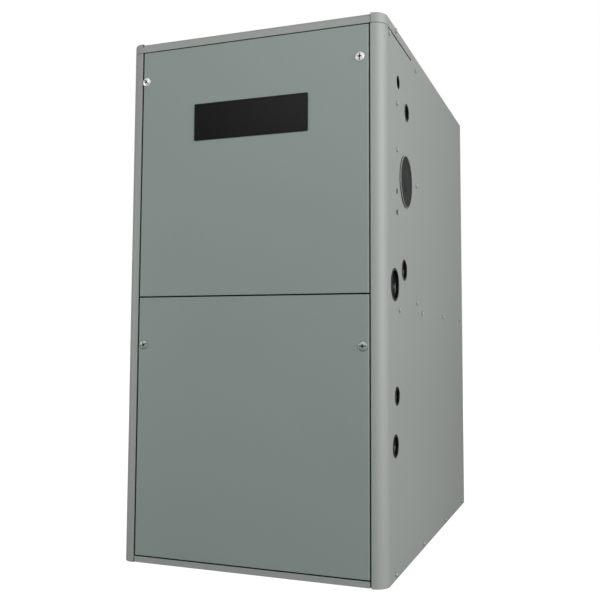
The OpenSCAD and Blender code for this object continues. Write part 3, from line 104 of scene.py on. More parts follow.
class Flow:
    """One socket's value. Arithmetic on it adds Math nodes to its material."""

    def __init__(self, finish, socket):
        self.finish, self.socket = finish, socket

    def math(self, operation, *terms):
        return self.finish.node("Math", {"operation": operation}, dict(enumerate(terms)))

    def __add__(self, other):
        return self.math("ADD", self, other)

    def __radd__(self, other):
        return self.math("ADD", other, self)

    def __sub__(self, other):
        return self.math("SUBTRACT", self, other)

    def __rsub__(self, other):
        return self.math("SUBTRACT", other, self)

    def __mul__(self, other):
        return self.math("MULTIPLY", self, other)

    def __rmul__(self, other):
        return self.math("MULTIPLY", other, self)

    def __truediv__(self, other):
        return self.math("DIVIDE", self, other)

    def larger(self, other):
        return self.math("MAXIMUM", self, other)

    def unsigned(self):
        return self.math("ABSOLUTE", self)


class Nodes:
    """A node tree, and the masks and mixes that finishes are made of."""

    def __init__(self, tree):
        self.tree = tree

    def node(self, kind, settings=None, sockets=None, out=0):
        made = self.tree.nodes.new("ShaderNode" + kind)
        for key, value in (settings or {}).items():
            if key == "stops":
                self.set_stops(made.color_ramp, value)
            else:
                setattr(made, key, value)
        for key, value in (sockets or {}).items():
            self.feed(made.inputs[key], value)
        return Flow(self, made.outputs[out])

    def feed(self, socket, value):
        if isinstance(value, Flow):
            self.tree.links.new(value.socket, socket)
        else:
            socket.default_value = value

    def set_stops(self, ramp, stops):
        while len(ramp.elements) < len(stops):
            ramp.elements.new(0.5)
        for element, (position, colour) in zip(ramp.elements, stops):
            element.position, element.color = position, colour

    def place(self):
        """Where a point lies on its piece, in metres; it moves with the piece."""
        return self.node("TexCoord", out="Object")

    def stretched(self, x, y, z):
        return self.node("Mapping", {}, {"Vector": self.place(), "Scale": (x, y, z)})

    def noise(self, size, detail=3.0, rough=0.55, at=None):
        """Soft noise whose patches are about size metres across."""
        return self.node("TexNoise", {}, {"Vector": at or self.place(), "Scale": 1 / size, "Detail": detail,
                                          "Roughness": rough})

    def cells(self, size, feature="F1", out="Distance", at=None):
        sockets = {"Vector": at or self.place(), "Scale": 1 / size}
        return self.node("TexVoronoi", {"feature": feature}, sockets, out)

    def between(self, value, low, high, at_low=0.0, at_high=1.0):
        return self.node("MapRange", {"interpolation_type": "SMOOTHSTEP"},
                         {0: value, 1: low, 2: high, 3: at_low, 4: at_high})

    def mix(self, factor, first, second, kind="MIX"):
        """Two colours, mixed by a factor from 0 to 1."""
        return self.node("Mix", {"data_type": "RGBA", "blend_type": kind},
                         {0: factor, 6: first, 7: second}, out=2)

    def part(self, vector, axis):
        return self.node("SeparateXYZ", {}, {0: vector}, out=axis)

    def rounded(self, radius):
        """Normals that look as if sharp edges had been eased by radius metres."""
        return self.node("Bevel", {"samples": 6}, {"Radius": radius})

    def edges(self, radius):
        """Near 1 on edges and 0 on flat faces, from how far the eased normal leans."""
        flat = self.node("NewGeometry", out="Normal")
        lean = self.node("VectorMath", {"operation": "DOT_PRODUCT"},
                         {0: self.rounded(radius), 1: flat}, out="Value")
        return self.between(1 - lean, 0.02, 0.3)

    def bump(self, height, depth, normal=None):
        """Raises the surface by height, whose full step is depth metres."""
        sockets = {"Height": height, "Distance": depth, "Strength": 1.0}
        if normal is not None:
            sockets["Normal"] = normal
        return self.node("Bump", {}, sockets)


class Finish(Nodes):
    """A named material with one Principled shader. Keywords set that shader's own sockets."""

    def __init__(self, name, **constants):
        self.material = bpy.data.materials.new(name)
        self.material.use_nodes = True
        super().__init__(self.material.node_tree)
        self.tree.nodes.clear()
        self.shader = self.tree.nodes.new("ShaderNodeBsdfPrincipled")
        output = self.tree.nodes.new("ShaderNodeOutputMaterial")
        self.tree.links.new(self.shader.outputs[0], output.inputs["Surface"])
        self.set(**constants)

    def set(self, **sockets):
        """base_color=..., roughness=... and so on, as numbers or as flows."""
        for key, value in sockets.items():
            self.feed(self.shader.inputs[key.replace("_", " ").title().replace("Ior", "IOR")], value)


def cover(finish, *nodes):
    """Gives carried-over pieces their material."""
    for node in nodes:
        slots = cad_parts[node].data.materials
        slots.clear()
        slots.append(finish.material)


# %% [markdown]
# ## Powder coat
# The cabinet is sheet steel with a satin grey powder coat. Powder flows out to a fine orange peel,
# about 1 mm from crest to crest and a few microns deep, so light breaks up softly and nothing
# mirrors. The doors are the same coat in a greener, darker grey. Edges thin out and carry a painted highlight,
# a lighter colour.

# %% Powder coat
def powder_coat(name, colour, edge_highlight_colour, roughness):
    coat = Finish(name, specular_ior_level=0.45)
    peel = coat.noise(1.1 * MM, detail=2.0)
    drift = coat.noise(0.16, detail=2.0)
    specks = coat.between(coat.noise(0.45 * MM, detail=0.0), 0.72, 0.80)
    edge = coat.edges(0.9 * MM)
    darker, lighter = (tuple(c * share for c in colour[:3]) + (1,) for share in (0.97, 1.03))
    tone = coat.mix(drift, darker, lighter)
    tone = coat.mix(specks * 0.05, tone, srgb(214, 218, 214))
    # painted highlight: edges are mixed towards a lighter colour
    coat.set(base_color=coat.mix(edge * 0.5, tone, edge_highlight_colour),
             roughness=roughness + 0.06 * drift + 0.04 * peel,
             normal=coat.bump(peel + 0.3 * drift, 0.012 * MM, coat.rounded(0.8 * MM)))
    return coat


CABINET_GREY = srgb(145, 150, 146)
DOOR_GREY = srgb(130, 142, 138)
cabinet_paint = powder_coat("cabinet_powder_coat", CABINET_GREY, srgb(196, 201, 197), 0.46)
door_paint = powder_coat("door_powder_coat", DOOR_GREY, srgb(162, 172, 169), 0.44)
cover(cabinet_paint, "side_panels", "back_panel", "top_cap", "front_rails")
cover(door_paint, "upper_door", "lower_door")
print("powder coats on 6 pieces")

# %% [markdown]
# ## Metals inside
# Hot-dip zinc freezes into crystals a few millimetres wide, each at its own tilt, so each shines a
# little differently: cells with one random number apiece give that. Plated screws, castings, pipe
# and heated steel are told apart by their grain, their polish and the stains that heat leaves.

# %% Galvanised sheet and zinc plate
def spangled_zinc():
    zinc = Finish("galvanised_sheet", metallic=0.88)
    crystal = zinc.part(zinc.cells(6.5 * MM, out="Color"), 0)
    grime_and_shade = zinc.noise(60 * MM)
    zinc.set(base_color=zinc.mix(crystal, srgb(164, 170, 173), srgb(201, 206, 208)),
             roughness=0.30 + 0.20 * crystal + 0.10 * grime_and_shade,
             normal=zinc.bump(crystal + 0.2 * grime_and_shade, 0.02 * MM, zinc.rounded(0.5 * MM)))
    return zinc


def plated(name, colour, roughness, metallic):
    """Turned and plated steel: fine rings, small scratches, brighter edges."""
    plate = Finish(name, metallic=metallic)
    scratch = plate.noise(0.5 * MM, detail=4.0)
    edge = plate.edges(0.35 * MM)
    plate.set(base_color=plate.mix(edge * 0.5, colour, srgb(236, 237, 233)),
              roughness=roughness + 0.16 * scratch,
              normal=plate.bump(scratch, 0.01 * MM, plate.rounded(0.3 * MM)))
    return plate


galvanised = spangled_zinc()
bright_zinc = plated("bright_zinc_plate", srgb(232, 234, 229), 0.40, metallic=0.7)
dull_zinc = plated("dull_zinc_plate", srgb(150, 157, 154), 0.42, metallic=0.8)
cover(galvanised, "vestibule_panel", "blower_deck", "bottom_pan", "frame_brackets",
      "burner_box", "blower_sides", "blower_wrap", "blower_wheel", "junction_box", "control_panel", "burners")
cover(bright_zinc, "hose_clamps", "blower_shaft", "inducer_shaft")
cover(dull_zinc, "motor_mount")

# %% [markdown]
# ## Door screws
# The heads are shallow domes with a slot and a cross. They read as bright discs with a dark middle,
# because painted shade darkens whatever lies below the dome, the middle, and a ring round the foot of
# the head. So the finish works out how far a point is sunk below that dome, from its distance to the
# screw's axis. The lower two are duller.

# %% Door screws
HEAD_R, HEAD_H = 8 * MM, 2.6 * MM
FOOT_START, FOOT_END = 7.0 * MM, 7.9 * MM
CROSS_START, CROSS_END = 1.5 * MM, 2.3 * MM
FOOT_WANDER = 8e-6
DOME_R = (HEAD_R ** 2 + HEAD_H ** 2) / (2 * HEAD_H)


def door_screw_zinc(node, colour, shade_colour):
    """Zinc plate with painted shade in the slot, in the cross and round the foot of the head."""
    verts = [vert.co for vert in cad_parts[node].data.vertices]
    axis_x, axis_z = ((min(v[i] for v in verts) + max(v[i] for v in verts)) / 2 for i in (0, 2))
    crown = min(v.y for v in verts)
    zinc = Finish(node + "_zinc")
    spot = zinc.place()
    x, z = zinc.part(spot, 0) - axis_x, zinc.part(spot, 2) - axis_z
    away = x * x + z * z  # the distance to the axis, squared
    sunk = zinc.part(spot, 1) - crown - away / (2 * DOME_R)
    wear = zinc.noise(2.2 * MM, detail=4.0)
    # painted shade: the three masks below darken the foot of the head, the slot and the middle
    foot = zinc.between(away + FOOT_WANDER * wear, FOOT_START ** 2, FOOT_END ** 2)
    slot = zinc.between(sunk, 0.05 * MM, 0.35 * MM)
    cross = zinc.between(away, CROSS_START ** 2, CROSS_END ** 2, 1.0, 0.0)
    painted_shade = slot.larger(cross).larger(foot * 0.8)
    zinc.set(base_color=zinc.mix(painted_shade, zinc.mix(wear * 0.3, colour, srgb(176, 184, 180)), shade_colour),
             metallic=0.35 - 0.35 * painted_shade, roughness=0.34 + 0.12 * wear + 0.4 * painted_shade,
             normal=zinc.bump(wear, 0.03 * MM, zinc.rounded(0.3 * MM)))
    return zinc


for screw in ("upper_screw_left", "upper_screw_right"):
    cover(door_screw_zinc(screw, srgb(236, 240, 237), srgb(16, 18, 17)), screw)
for screw in ("lower_screw_left", "lower_screw_right"):
    cover(door_screw_zinc(screw, srgb(150, 160, 155), srgb(30, 34, 32)), screw)
print("door screws: 4")

# %% Heated steel, castings, pipe and enamel
def heated_steel():
    """Aluminised steel: grey and dull, with straw and blue stains where flame has been."""
    steel = Finish("heated_steel", metallic=0.8)
    stain = steel.noise(0.09, detail=4.0)
    tints = [(0.30, srgb(166, 166, 162)), (0.52, srgb(158, 148, 128)),
             (0.66, srgb(128, 118, 122)), (0.80, srgb(108, 116, 132))]
    heat = steel.node("ValToRGB", {"stops": tints}, {0: stain})
    grain = steel.noise(1.6 * MM, detail=2.0)
    steel.set(base_color=heat, roughness=0.42 + 0.22 * grain,
              normal=steel.bump(grain, 0.03 * MM, steel.rounded(0.8 * MM)))
    return steel


def cast_metal(name, colour, grain_size, roughness):
    cast = Finish(name, metallic=0.75)
    grain = cast.noise(grain_size, detail=3.0)
    edge = cast.edges(1.0 * MM)
    cast.set(base_color=cast.mix(edge * 0.4, colour, srgb(206, 208, 208)), roughness=roughness + 0.2 * grain,
             normal=cast.bump(grain, 0.09 * MM, cast.rounded(1.2 * MM)))
    return cast


def enamel(name, colour, roughness):
    """Baked enamel over steel: glossy, a little wavy, dusty in patches."""
    coat = Finish(name, coat_weight=0.25)
    wave = coat.noise(2.4 * MM, detail=2.0)
    dust = coat.between(coat.noise(30 * MM, detail=4.0), 0.45, 0.75)
    coat.set(base_color=coat.mix(dust * 0.18, colour, srgb(150, 146, 138)),
             roughness=roughness + 0.25 * dust, normal=coat.bump(wave, 0.03 * MM, coat.rounded(0.9 * MM)))
    return coat


def turned_brass():
    brass = Finish("turned_brass", metallic=1.0)
    rings = brass.node("TexWave", {"wave_type": "BANDS", "bands_direction": "Y"},
                       {"Vector": brass.place(), "Scale": 900.0, "Distortion": 0.4}, out="Fac")
    tarnish = brass.noise(4 * MM)
    brass.set(base_color=brass.mix(tarnish, srgb(206, 172, 92), srgb(168, 130, 62)),
              roughness=0.24 + 0.2 * tarnish, normal=brass.bump(rings, 0.02 * MM, brass.rounded(0.4 * MM)))
    return brass


cover(heated_steel(), "heat_tubes", "transition_box")
cover(cast_metal("cast_aluminium", srgb(168, 171, 173), 0.9 * MM, 0.34), "gas_valve", "inducer_wheel")
cover(enamel("black_pipe", srgb(52, 52, 54), 0.42), "manifold")
motor_enamel = enamel("motor_enamel", srgb(44, 46, 50), 0.34)
cover(motor_enamel, "blower_motor", "inducer_motor", "transformer")
cover(turned_brass(), "gas_orifices")
print("metal finishes done")

# %% [markdown]
# ## Plastics and rubber
# Moulded parts take the fine texture of their mould. Texture size, gloss and colour are all that
# separate a black housing from a red button, so one function makes them all.

# %% Moulded parts
def moulded(name, colour, roughness, texture=0.35 * MM, dust=0.08):
    part = Finish(name)
    texture_noise = part.noise(texture, detail=2.0)
    flow_mark = part.noise(40 * MM, detail=2.0)
    edge = part.edges(0.6 * MM)
    worn = part.mix(edge * 0.25 + flow_mark * dust, colour, srgb(150, 152, 150))
    part.set(base_color=worn, roughness=roughness + 0.12 * texture_noise + 0.05 * flow_mark,
             normal=part.bump(texture_noise, 0.02 * MM, part.rounded(0.6 * MM)))
    return part


black_plastic = moulded("black_housing", srgb(34, 35, 36), 0.42)
gloss_black = moulded("gloss_black_plug", srgb(5, 6, 6), 0.16, texture=0.8 * MM, dust=0.0)
rubber = moulded("black_rubber", srgb(30, 30, 31), 0.62, texture=0.25 * MM)
white_plastic = moulded("white_plastic", srgb(226, 225, 219), 0.35, dust=0.04)
red_plastic = moulded("red_plastic", srgb(186, 34, 26), 0.30, dust=0.03)
ceramic = moulded("glazed_ceramic", srgb(228, 224, 212), 0.22, texture=0.6 * MM, dust=0.05)
cover(black_plastic, "collector_box", "inducer_housing", "cooling_fan", "cap_collars", "condensate_trap",
      "limit_switches", "pressure_switch", "door_switch")
cover(white_plastic, "vent_pipe", "door_switch_button")
cover(red_plastic, "valve_knob", "left_reset_button", "right_reset_button")
cover(ceramic, "burner_probes")

# %% Bare badge
badge_gloss = Finish("bare_badge", specular_ior_level=0.12)
haze = badge_gloss.noise(30 * MM, detail=3.0)
badge_gloss.set(base_color=badge_gloss.mix(haze, srgb(6, 7, 7), srgb(11, 12, 12)),
                roughness=0.30 + 0.08 * haze, normal=badge_gloss.rounded(0.4 * MM))
cover(badge_gloss, "badge_plate")
print("plastics and badge done")

# %% [markdown]
# ## Making pieces
# A piece is a bmesh that becomes an object, takes a finish and rides on its body. Turned parts come
# from a profile spun round an axis. Where several like parts sit is read from the frame: the separate
# solids of a carried-over node give the places, so no place is typed in twice.

# %% Helpers for pieces
SMOOTH_ANGLE = math.radians(35)


def piece(name, bm, finish, body, replaces=()):
    bmesh.ops.recalc_face_normals(bm, faces=bm.faces)
    mesh = bpy.data.meshes.new(name)
    bm.to_mesh(mesh)
    bm.free()
    made = bpy.data.objects.new(name, mesh)
    bpy.context.scene.collection.objects.link(made)
    for polygon in mesh.polygons:
        polygon.use_smooth = True
    mesh.set_sharp_from_angle(angle=SMOOTH_ANGLE)
    mesh.materials.append(finish.material)
    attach(made, body)
    if replaces:
        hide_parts(*replaces)
    return made


def solids_of(node):
    """Lowest and highest corner of each separate solid of a carried-over node."""
    bm = bmesh.new()
    bm.from_mesh(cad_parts[node].data)
    bmesh.ops.remove_doubles(bm, verts=bm.verts, dist=1e-6)
    left, boxes = set(bm.verts), []
    while left:
        front = [left.pop()]
        found = list(front)
        while front:
            for edge in front.pop().link_edges:
                for vert in edge.verts:
                    if vert in left:
                        left.remove(vert)
                        front.append(vert)
                        found.append(vert)
        boxes.append(tuple(Vector([pick(v.co[i] for v in found) for i in range(3)]) for pick in (min, max)))
    bm.free()
    return sorted(boxes, key=lambda box: tuple(round(c, 4) for c in box[0]))


def lathe(bm, profile, place, sides=48, spread=0.0):
    """Spins (radius, height) points round +Z, then puts them where place says. Radius 0 makes a tip.
    Spread pulls the two halves apart along X, which makes an oval."""
    rings = []
    for radius, height in profile:
        if radius < 1e-7:
            rings.append([bm.verts.new(place @ Vector((0, 0, height)))])
        else:
            turn = [2 * math.pi * k / sides for k in range(sides)]
            points = [(radius * math.cos(a) + math.copysign(spread, math.cos(a)), radius * math.sin(a), height)
                      for a in turn]
            rings.append([bm.verts.new(place @ Vector(point)) for point in points])
    for low, high in zip(rings, rings[1:]):
        for k in range(sides):
            corners = list(dict.fromkeys([low[k % len(low)], low[(k + 1) % len(low)],
                                          high[(k + 1) % len(high)], high[k % len(high)]]))
            if len(corners) > 2:
                bm.faces.new(corners)


def block(bm, low, high, radius=0.0):
    """A box between two corners, its edges rounded."""
    made = bmesh.ops.create_cube(bm, size=1.0)["verts"]
    for vert in made:
        vert.co = Vector([low[i] + (vert.co[i] + 0.5) * (high[i] - low[i]) for i in range(3)])
    if radius:
        edges = list({edge for vert in made for edge in vert.link_edges})
        bmesh.ops.bevel(bm, geom=edges, offset=radius, segments=3, profile=0.5, affect="EDGES")


def arc(centre_r, centre_h, radius, start, end, steps=5):
    """Profile points along an arc, angles in degrees from the outward direction."""
    angles = [math.radians(start + (end - start) * k / steps) for k in range(steps + 1)]
    return [(centre_r + radius * math.cos(a), centre_h + radius * math.sin(a)) for a in angles]


def facing(point, direction):
    """A place at point whose +Z looks along direction."""
    return Matrix.Translation(point) @ Vector(direction).to_track_quat("Z", "Y").to_matrix().to_4x4()


ON_A_SIDE = 0.2  # a fastener further than this from the middle sits on a side, any other on the back


def outward(box):
    """Which way a fastener on the cabinet points, and the middle of its outer end."""
    middle = (box[0] + box[1]) / 2
    if abs(middle.x) > ON_A_SIDE:
        side = math.copysign(1, middle.x)
        return Vector((side, 0, 0)), Vector((box[1].x if side > 0 else box[0].x, middle.y, middle.z))
    return Vector((0, 1, 0)), Vector((middle.x, box[1].y, middle.z))


# %% [markdown]
# ## Sheet metal screws
# Thirty-six hexagon washer-head screws hold the cabinet. Each is three forms: a washer face with a
# rolled rim, a hexagon whose top corners are turned off, and a threaded shank. They are painted with
# the cabinet: the edges show zinc, lightened further as a painted highlight, and a painted shadow
# rings the foot.

# %% Sheet metal screws
WASHER_R, WASHER_H = 4.4 * MM, 0.8 * MM
HEX_R, HEX_TOP = 3.667 * MM, 2.8 * MM
SHANK_R, SHANK_LEN, THREAD_PITCH = 2.1 * MM, 8 * MM, 1.0 * MM


def hex_screw(bm, place):
    rim = arc(WASHER_R - 0.3 * MM, 0.3 * MM, 0.3 * MM, -90, 60, 4)
    lathe(bm, [(0, 0), *rim, (HEX_R * 0.9, WASHER_H), (0, WASHER_H)], place, sides=32)
    lathe(bm, [(0, WASHER_H - 0.1 * MM), (HEX_R, WASHER_H - 0.1 * MM), (HEX_R, HEX_TOP - 0.35 * MM),
               (HEX_R * 0.84, HEX_TOP), (HEX_R * 0.55, HEX_TOP), (HEX_R * 0.45, HEX_TOP - 0.4 * MM),
               (0, HEX_TOP - 0.4 * MM)], place, sides=6)
    turns = int((SHANK_LEN - 2 * MM) / THREAD_PITCH)
    thread = [(0, 0.05 * MM), (SHANK_R * 0.8, 0.05 * MM)]
    for k in range(turns):
        z = -0.6 * MM - k * THREAD_PITCH
        thread += [(SHANK_R * 0.8, z), (SHANK_R, z - THREAD_PITCH * 0.4),
                   (SHANK_R * 0.8, z - THREAD_PITCH * 0.8)]
    lathe(bm, [*thread, (0, -SHANK_LEN)], place, sides=16)


screw_paint = Finish("painted_screw", specular_ior_level=0.5)
speck = screw_paint.noise(0.6 * MM)
bare_zinc_and_highlight = screw_paint.edges(0.35 * MM)
cabinet_half, cabinet_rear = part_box("side_panels")[1].x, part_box("back_panel")[1].y
spot = screw_paint.place()
beyond_side = screw_paint.part(spot, 0).unsigned() - cabinet_half
beyond_back = screw_paint.part(spot, 1) - cabinet_rear
# painted shadow: darker within about a millimetre of the side or back sheet, round each screw's foot
foot = screw_paint.between(beyond_side.larger(beyond_back), 0.2 * MM, 1.2 * MM, 1.0, 0.0)
# edges lighter and more metallic: bare zinc, and also a painted highlight
coat = screw_paint.mix(bare_zinc_and_highlight * 0.7, srgb(164, 170, 166), srgb(236, 238, 234))
screw_paint.set(base_color=screw_paint.mix(foot * 0.75, coat, srgb(52, 56, 54)),
                metallic=0.7 * bare_zinc_and_highlight, roughness=0.24 + 0.15 * speck, normal=screw_paint.rounded(0.3 * MM))

screws = bmesh.new()
spots = solids_of("cabinet_screws")
for box in spots:
    direction, tip = outward(box)
    hex_screw(screws, facing(tip - direction * HEX_TOP, direction))
piece("sheet_metal_screws", screws, screw_paint, "cabinet", ["cabinet_screws"])
print("screws:", len(spots))

# %% [markdown]
# ## Hole plugs
# The unused holes are closed by dished black plugs. A plug is turned from one profile: a thin rounded
# rim that lies on the sheet, a wall through the hole, a floor set back inside with a raised ring, and
# behind the sheet a skirt that snaps in.

# %% Hole plugs
PLUG_LIP, PLUG_RIM, PLUG_DISH = 1.4 * MM, 0.9 * MM, 6.0 * MM


def plug_profile(hole_r):
    wall = hole_r - 2.2 * MM
    lip = arc(hole_r + PLUG_LIP - 0.45 * MM, 0.45 * MM, 0.45 * MM, -90, 90, 6)
    inner_lip = arc(wall + 0.4 * MM, PLUG_RIM - 0.4 * MM, 0.4 * MM, 90, 180, 3)
    ring = [(wall * 0.62 + 0.9 * MM, -PLUG_DISH + 1.4 * MM), (wall * 0.62 + 0.5 * MM, -PLUG_DISH + 2.2 * MM),
            (wall * 0.62 - 0.5 * MM, -PLUG_DISH + 2.2 * MM), (wall * 0.62 - 0.9 * MM, -PLUG_DISH + 1.4 * MM)]
    return [(0, -PLUG_DISH), (hole_r - 0.7 * MM, -PLUG_DISH), (hole_r - 0.15 * MM, -PLUG_DISH + 1.2 * MM),
            (hole_r - 0.15 * MM, 0), *lip, *inner_lip, (wall, -PLUG_DISH + 2.0 * MM),
            (wall - 0.6 * MM, -PLUG_DISH + 1.4 * MM), *ring, (0, -PLUG_DISH + 1.5 * MM)]


plugs = bmesh.new()
plug_boxes = solids_of("hole_plugs")
for box in plug_boxes:
    direction, tip = outward(box)
    hole_r = (box[1].z - box[0].z) / 2 - PLUG_LIP
    lathe(plugs, plug_profile(hole_r), facing(tip - direction * PLUG_RIM, direction), sides=64)
piece("hole_plug_set", plugs, gloss_black, "cabinet", ["hole_plugs"])
print("plugs:", len(plug_boxes))

# %% [markdown]
# ## Side vent covers
# The big side hole is closed too: a steel ring, rolled over at its edge and painted like the cabinet,
# stands 2.5 mm proud and holds a darker cover. Painted shade darkens its groove and its foot. The cover is
# pressed with two shallow steps, which keep such a thin disc from drumming.

# %% Side vent covers
PROUD = 2.5 * MM
LIP_R, WALL_IN, WALL_T, WALL_DEEP = 0.75 * MM, 3.5 * MM, 1.3 * MM, 6 * MM
vent_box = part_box("vent_hole_caps")
ring_r = (vent_box[1].z - vent_box[0].z) / 2
bore_r, sheet_x = ring_r - WALL_IN, vent_box[1].x - PROUD
middle = (vent_box[0] + vent_box[1]) / 2
roll = arc(ring_r - LIP_R, PROUD - LIP_R, LIP_R, 0, 180, 6)
ring_profile = [(bore_r, -WALL_DEEP), (bore_r + WALL_T, -WALL_DEEP), (bore_r + WALL_T, 0), (ring_r, 0), *roll,
                (ring_r - 2 * LIP_R, 1 * MM), (bore_r, 1 * MM), (bore_r, -WALL_DEEP)]
disc_r = ring_r - 1.7 * MM
high, low = 1.8 * MM, 1.3 * MM
cover_profile = [(0, 0.5 * MM), (disc_r, 0.5 * MM), (disc_r, 1.4 * MM), (disc_r - 0.5 * MM, high),
                 (disc_r * 0.80, high), (disc_r * 0.78, low), (disc_r * 0.34, low), (disc_r * 0.32, high),
                 (0, high)]
ring_mesh, cover_mesh = bmesh.new(), bmesh.new()
for side in (-1, 1):
    place = facing(Vector((side * sheet_x, middle.y, middle.z)), (side, 0, 0))
    lathe(ring_mesh, ring_profile, place, sides=96)
    lathe(cover_mesh, cover_profile, place, sides=96)
vent_cover_paint = powder_coat("vent_cover_coat", srgb(26, 31, 28), srgb(80, 88, 84), 0.55)

ring_paint = Finish("vent_ring_coat", specular_ior_level=0.45)
ring_height = ring_paint.part(ring_paint.place(), 0).unsigned() - sheet_x
# painted shade: the ring goes dark where it lies less than about 2 mm above the sheet, in its groove and at
# its foot
grime_and_shade = ring_paint.between(ring_height + 0.3 * MM * ring_paint.noise(6 * MM), 1.3 * MM, 2.0 * MM, 1.0, 0.0)
ring_paint.set(base_color=ring_paint.mix(grime_and_shade * 0.85, srgb(138, 144, 140), srgb(28, 31, 29)),
               roughness=0.46 + 0.1 * grime_and_shade, normal=ring_paint.rounded(0.5 * MM))
piece("side_vent_rings", ring_mesh, ring_paint, "cabinet")
piece("side_vent_covers", cover_mesh, vent_cover_paint, "cabinet", ["vent_hole_caps"])
print("side vents: ring radius %.1f mm" % (ring_r / MM))

# %% [markdown]
# ## Door gap shade strips
# The gaps round the doors look black, because near-black strips on the frame stand in for the shade
# deep in each gap. Each strip lies 2 mm or more down its gap and stays just clear of the door.

# %% Door gap shade strips
lower_box, upper_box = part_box("lower_door"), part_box("upper_door")
door_half, door_face = upper_box[1][0], upper_box[0][1]
door_bottom, door_split, door_top = lower_box[0][2], lower_box[1][2], upper_box[1][2]
GAP, CLEAR = 2.4 * MM, 0.3 * MM
behind = door_face + 20.8 * MM
reach = door_half - 2 * MM
gap_shade_strips = bmesh.new()
for side in (-1, 1):
    near, far = sorted((side * (door_half + CLEAR), side * (door_half + GAP - 0.1 * MM)))
    block(gap_shade_strips, (near, door_face + 2 * MM, door_bottom), (far, door_face + 18 * MM, door_top),
          radius=0.4 * MM)
for near, far, low, high in ((behind, door_face + 31.9 * MM, door_split - 18 * MM, door_split + 8 * MM),
                             (behind, door_face + 34.6 * MM, door_top - 9 * MM, door_top + 6 * MM),
                             (door_face + 2.5 * MM, behind, door_bottom - 2.5 * MM, door_bottom - CLEAR)):
    block(gap_shade_strips, (-reach, near, low), (reach, far, high), radius=0.5 * MM)
# near-black strips put where the door gaps have only shade
shade_foam = moulded("gap_shade_foam", srgb(12, 12, 12), 0.9, texture=0.9 * MM, dust=0.0)
piece("door_gap_shade_strips", gap_shade_strips, shade_foam, "cabinet")
print("door seals: 5 strips")

# %% [markdown]
# ## Insulation
# Foil-faced glass wool lines the doors and the space round the heat exchanger. It is soft, so it
# swells between the pins that hold it and thins towards its cut edges. A fine grid whose height is
# worked out from the distance to the nearest pin and edge gives that shape without a simulation.
# The foil is crinkled and carries a diagonal scrim of glass threads.

# %% Foil finish
SCRIM_MESH = 12 * MM
foil = Finish("scrim_foil", metallic=0.82)
crinkle = foil.noise(9 * MM, detail=5.0, rough=0.6)


def thread_lines(angle_sign):
    spot = foil.place()
    along = foil.part(spot, 0) + foil.part(spot, 1) + angle_sign * foil.part(spot, 2)
    meshes = along / SCRIM_MESH
    return foil.between(meshes.math("PINGPONG", meshes, 0.5), 0.0, 0.06, 1.0, 0.0)


scrim = thread_lines(1.0).larger(thread_lines(-1.0))
foil.set(base_color=foil.mix(scrim * 0.4, srgb(196, 198, 199), srgb(150, 152, 152)),
         roughness=0.22 + 0.25 * crinkle, normal=foil.bump(crinkle + 0.25 * scrim, 0.7 * MM))

# %% Padded slabs
PIN_SPACING = 120 * MM
PIN_PULL, PIN_DIMPLE = 0.45, 14 * MM
EDGE_ROUND = 9 * MM
GRID_STEP = 9 * MM


def swell(a, b, size_a, size_b):
    """Share of the full thickness left at a point of the slab, for its pins and its cut edges."""
    near_edge = min(a, b, size_a - a, size_b - b)
    edge = math.sqrt(max(0.0, 1 - (1 - min(near_edge / EDGE_ROUND, 1)) ** 2))
    pins_a, pins_b = max(1, round(size_a / PIN_SPACING)), max(1, round(size_b / PIN_SPACING))
    step_a, step_b = size_a / pins_a, size_b / pins_b
    da = (a % step_a) - step_a / 2
    db = (b % step_b) - step_b / 2
    pull = math.exp(-(da * da + db * db) / (2 * PIN_DIMPLE ** 2))
    wave = 0.05 * math.sin(a * 61 + b * 23) * math.sin(b * 47 - a * 11)
    return (0.35 + 0.65 * edge) * (1 - PIN_PULL * pull) * (0.95 + wave)


def slab(bm, low, high, thin_axis, face_sign):
    """A pad that is flat where it lies on its sheet and swollen on its free face."""
    across = [axis for axis in range(3) if axis != thin_axis]
    size = [high[axis] - low[axis] for axis in across]
    counts = [max(4, round(length / GRID_STEP)) for length in size]
    thick = high[thin_axis] - low[thin_axis]
    flat = low[thin_axis] if face_sign > 0 else high[thin_axis]
    free, back = {}, {}
    for i in range(counts[0] + 1):
        for j in range(counts[1] + 1):
            a, b = size[0] * i / counts[0], size[1] * j / counts[1]
            point = Vector((0, 0, 0))
            point[across[0]], point[across[1]] = low[across[0]] + a, low[across[1]] + b
            point[thin_axis] = flat
            back[i, j] = bm.verts.new(point)
            point[thin_axis] = flat + face_sign * thick * swell(a, b, *size)
            free[i, j] = bm.verts.new(point)
    for i in range(counts[0]):
        for j in range(counts[1]):
            for grid in (free, back):
                bm.faces.new([grid[i, j], grid[i + 1, j], grid[i + 1, j + 1], grid[i, j + 1]])
    for i in range(counts[0]):
        for j in (0, counts[1]):
            bm.faces.new([free[i, j], free[i + 1, j], back[i + 1, j], back[i, j]])
    for j in range(counts[1]):
        for i in (0, counts[0]):
            bm.faces.new([free[i, j], free[i, j + 1], back[i, j + 1], back[i, j]])


def padding(name, box, thin_axis, face_sign, body, replaces):
    bm = bmesh.new()
    slab(bm, box[0], box[1], thin_axis, face_sign)
    made = piece(name, bm, foil, body, replaces)


padding("upper_door_padding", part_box("upper_door_insulation"), 1, 1, "upper_door", ["upper_door_insulation"])
padding("lower_door_padding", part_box("lower_door_insulation"), 1, 1, "lower_door", ["lower_door_insulation"])
for box in solids_of("insulation_liners"):
    middle = (box[0] + box[1]) / 2
    if abs(middle.x) < ON_A_SIDE / 2:
        padding("back_liner", box, 1, -1, "cabinet", ["insulation_liners"])
    else:
        side = "left" if middle.x < 0 else "right"
        padding(side + "_liner", box, 0, -math.copysign(1, middle.x), "cabinet", ["insulation_liners"])
print("padding: 2 door pads and 3 liners")

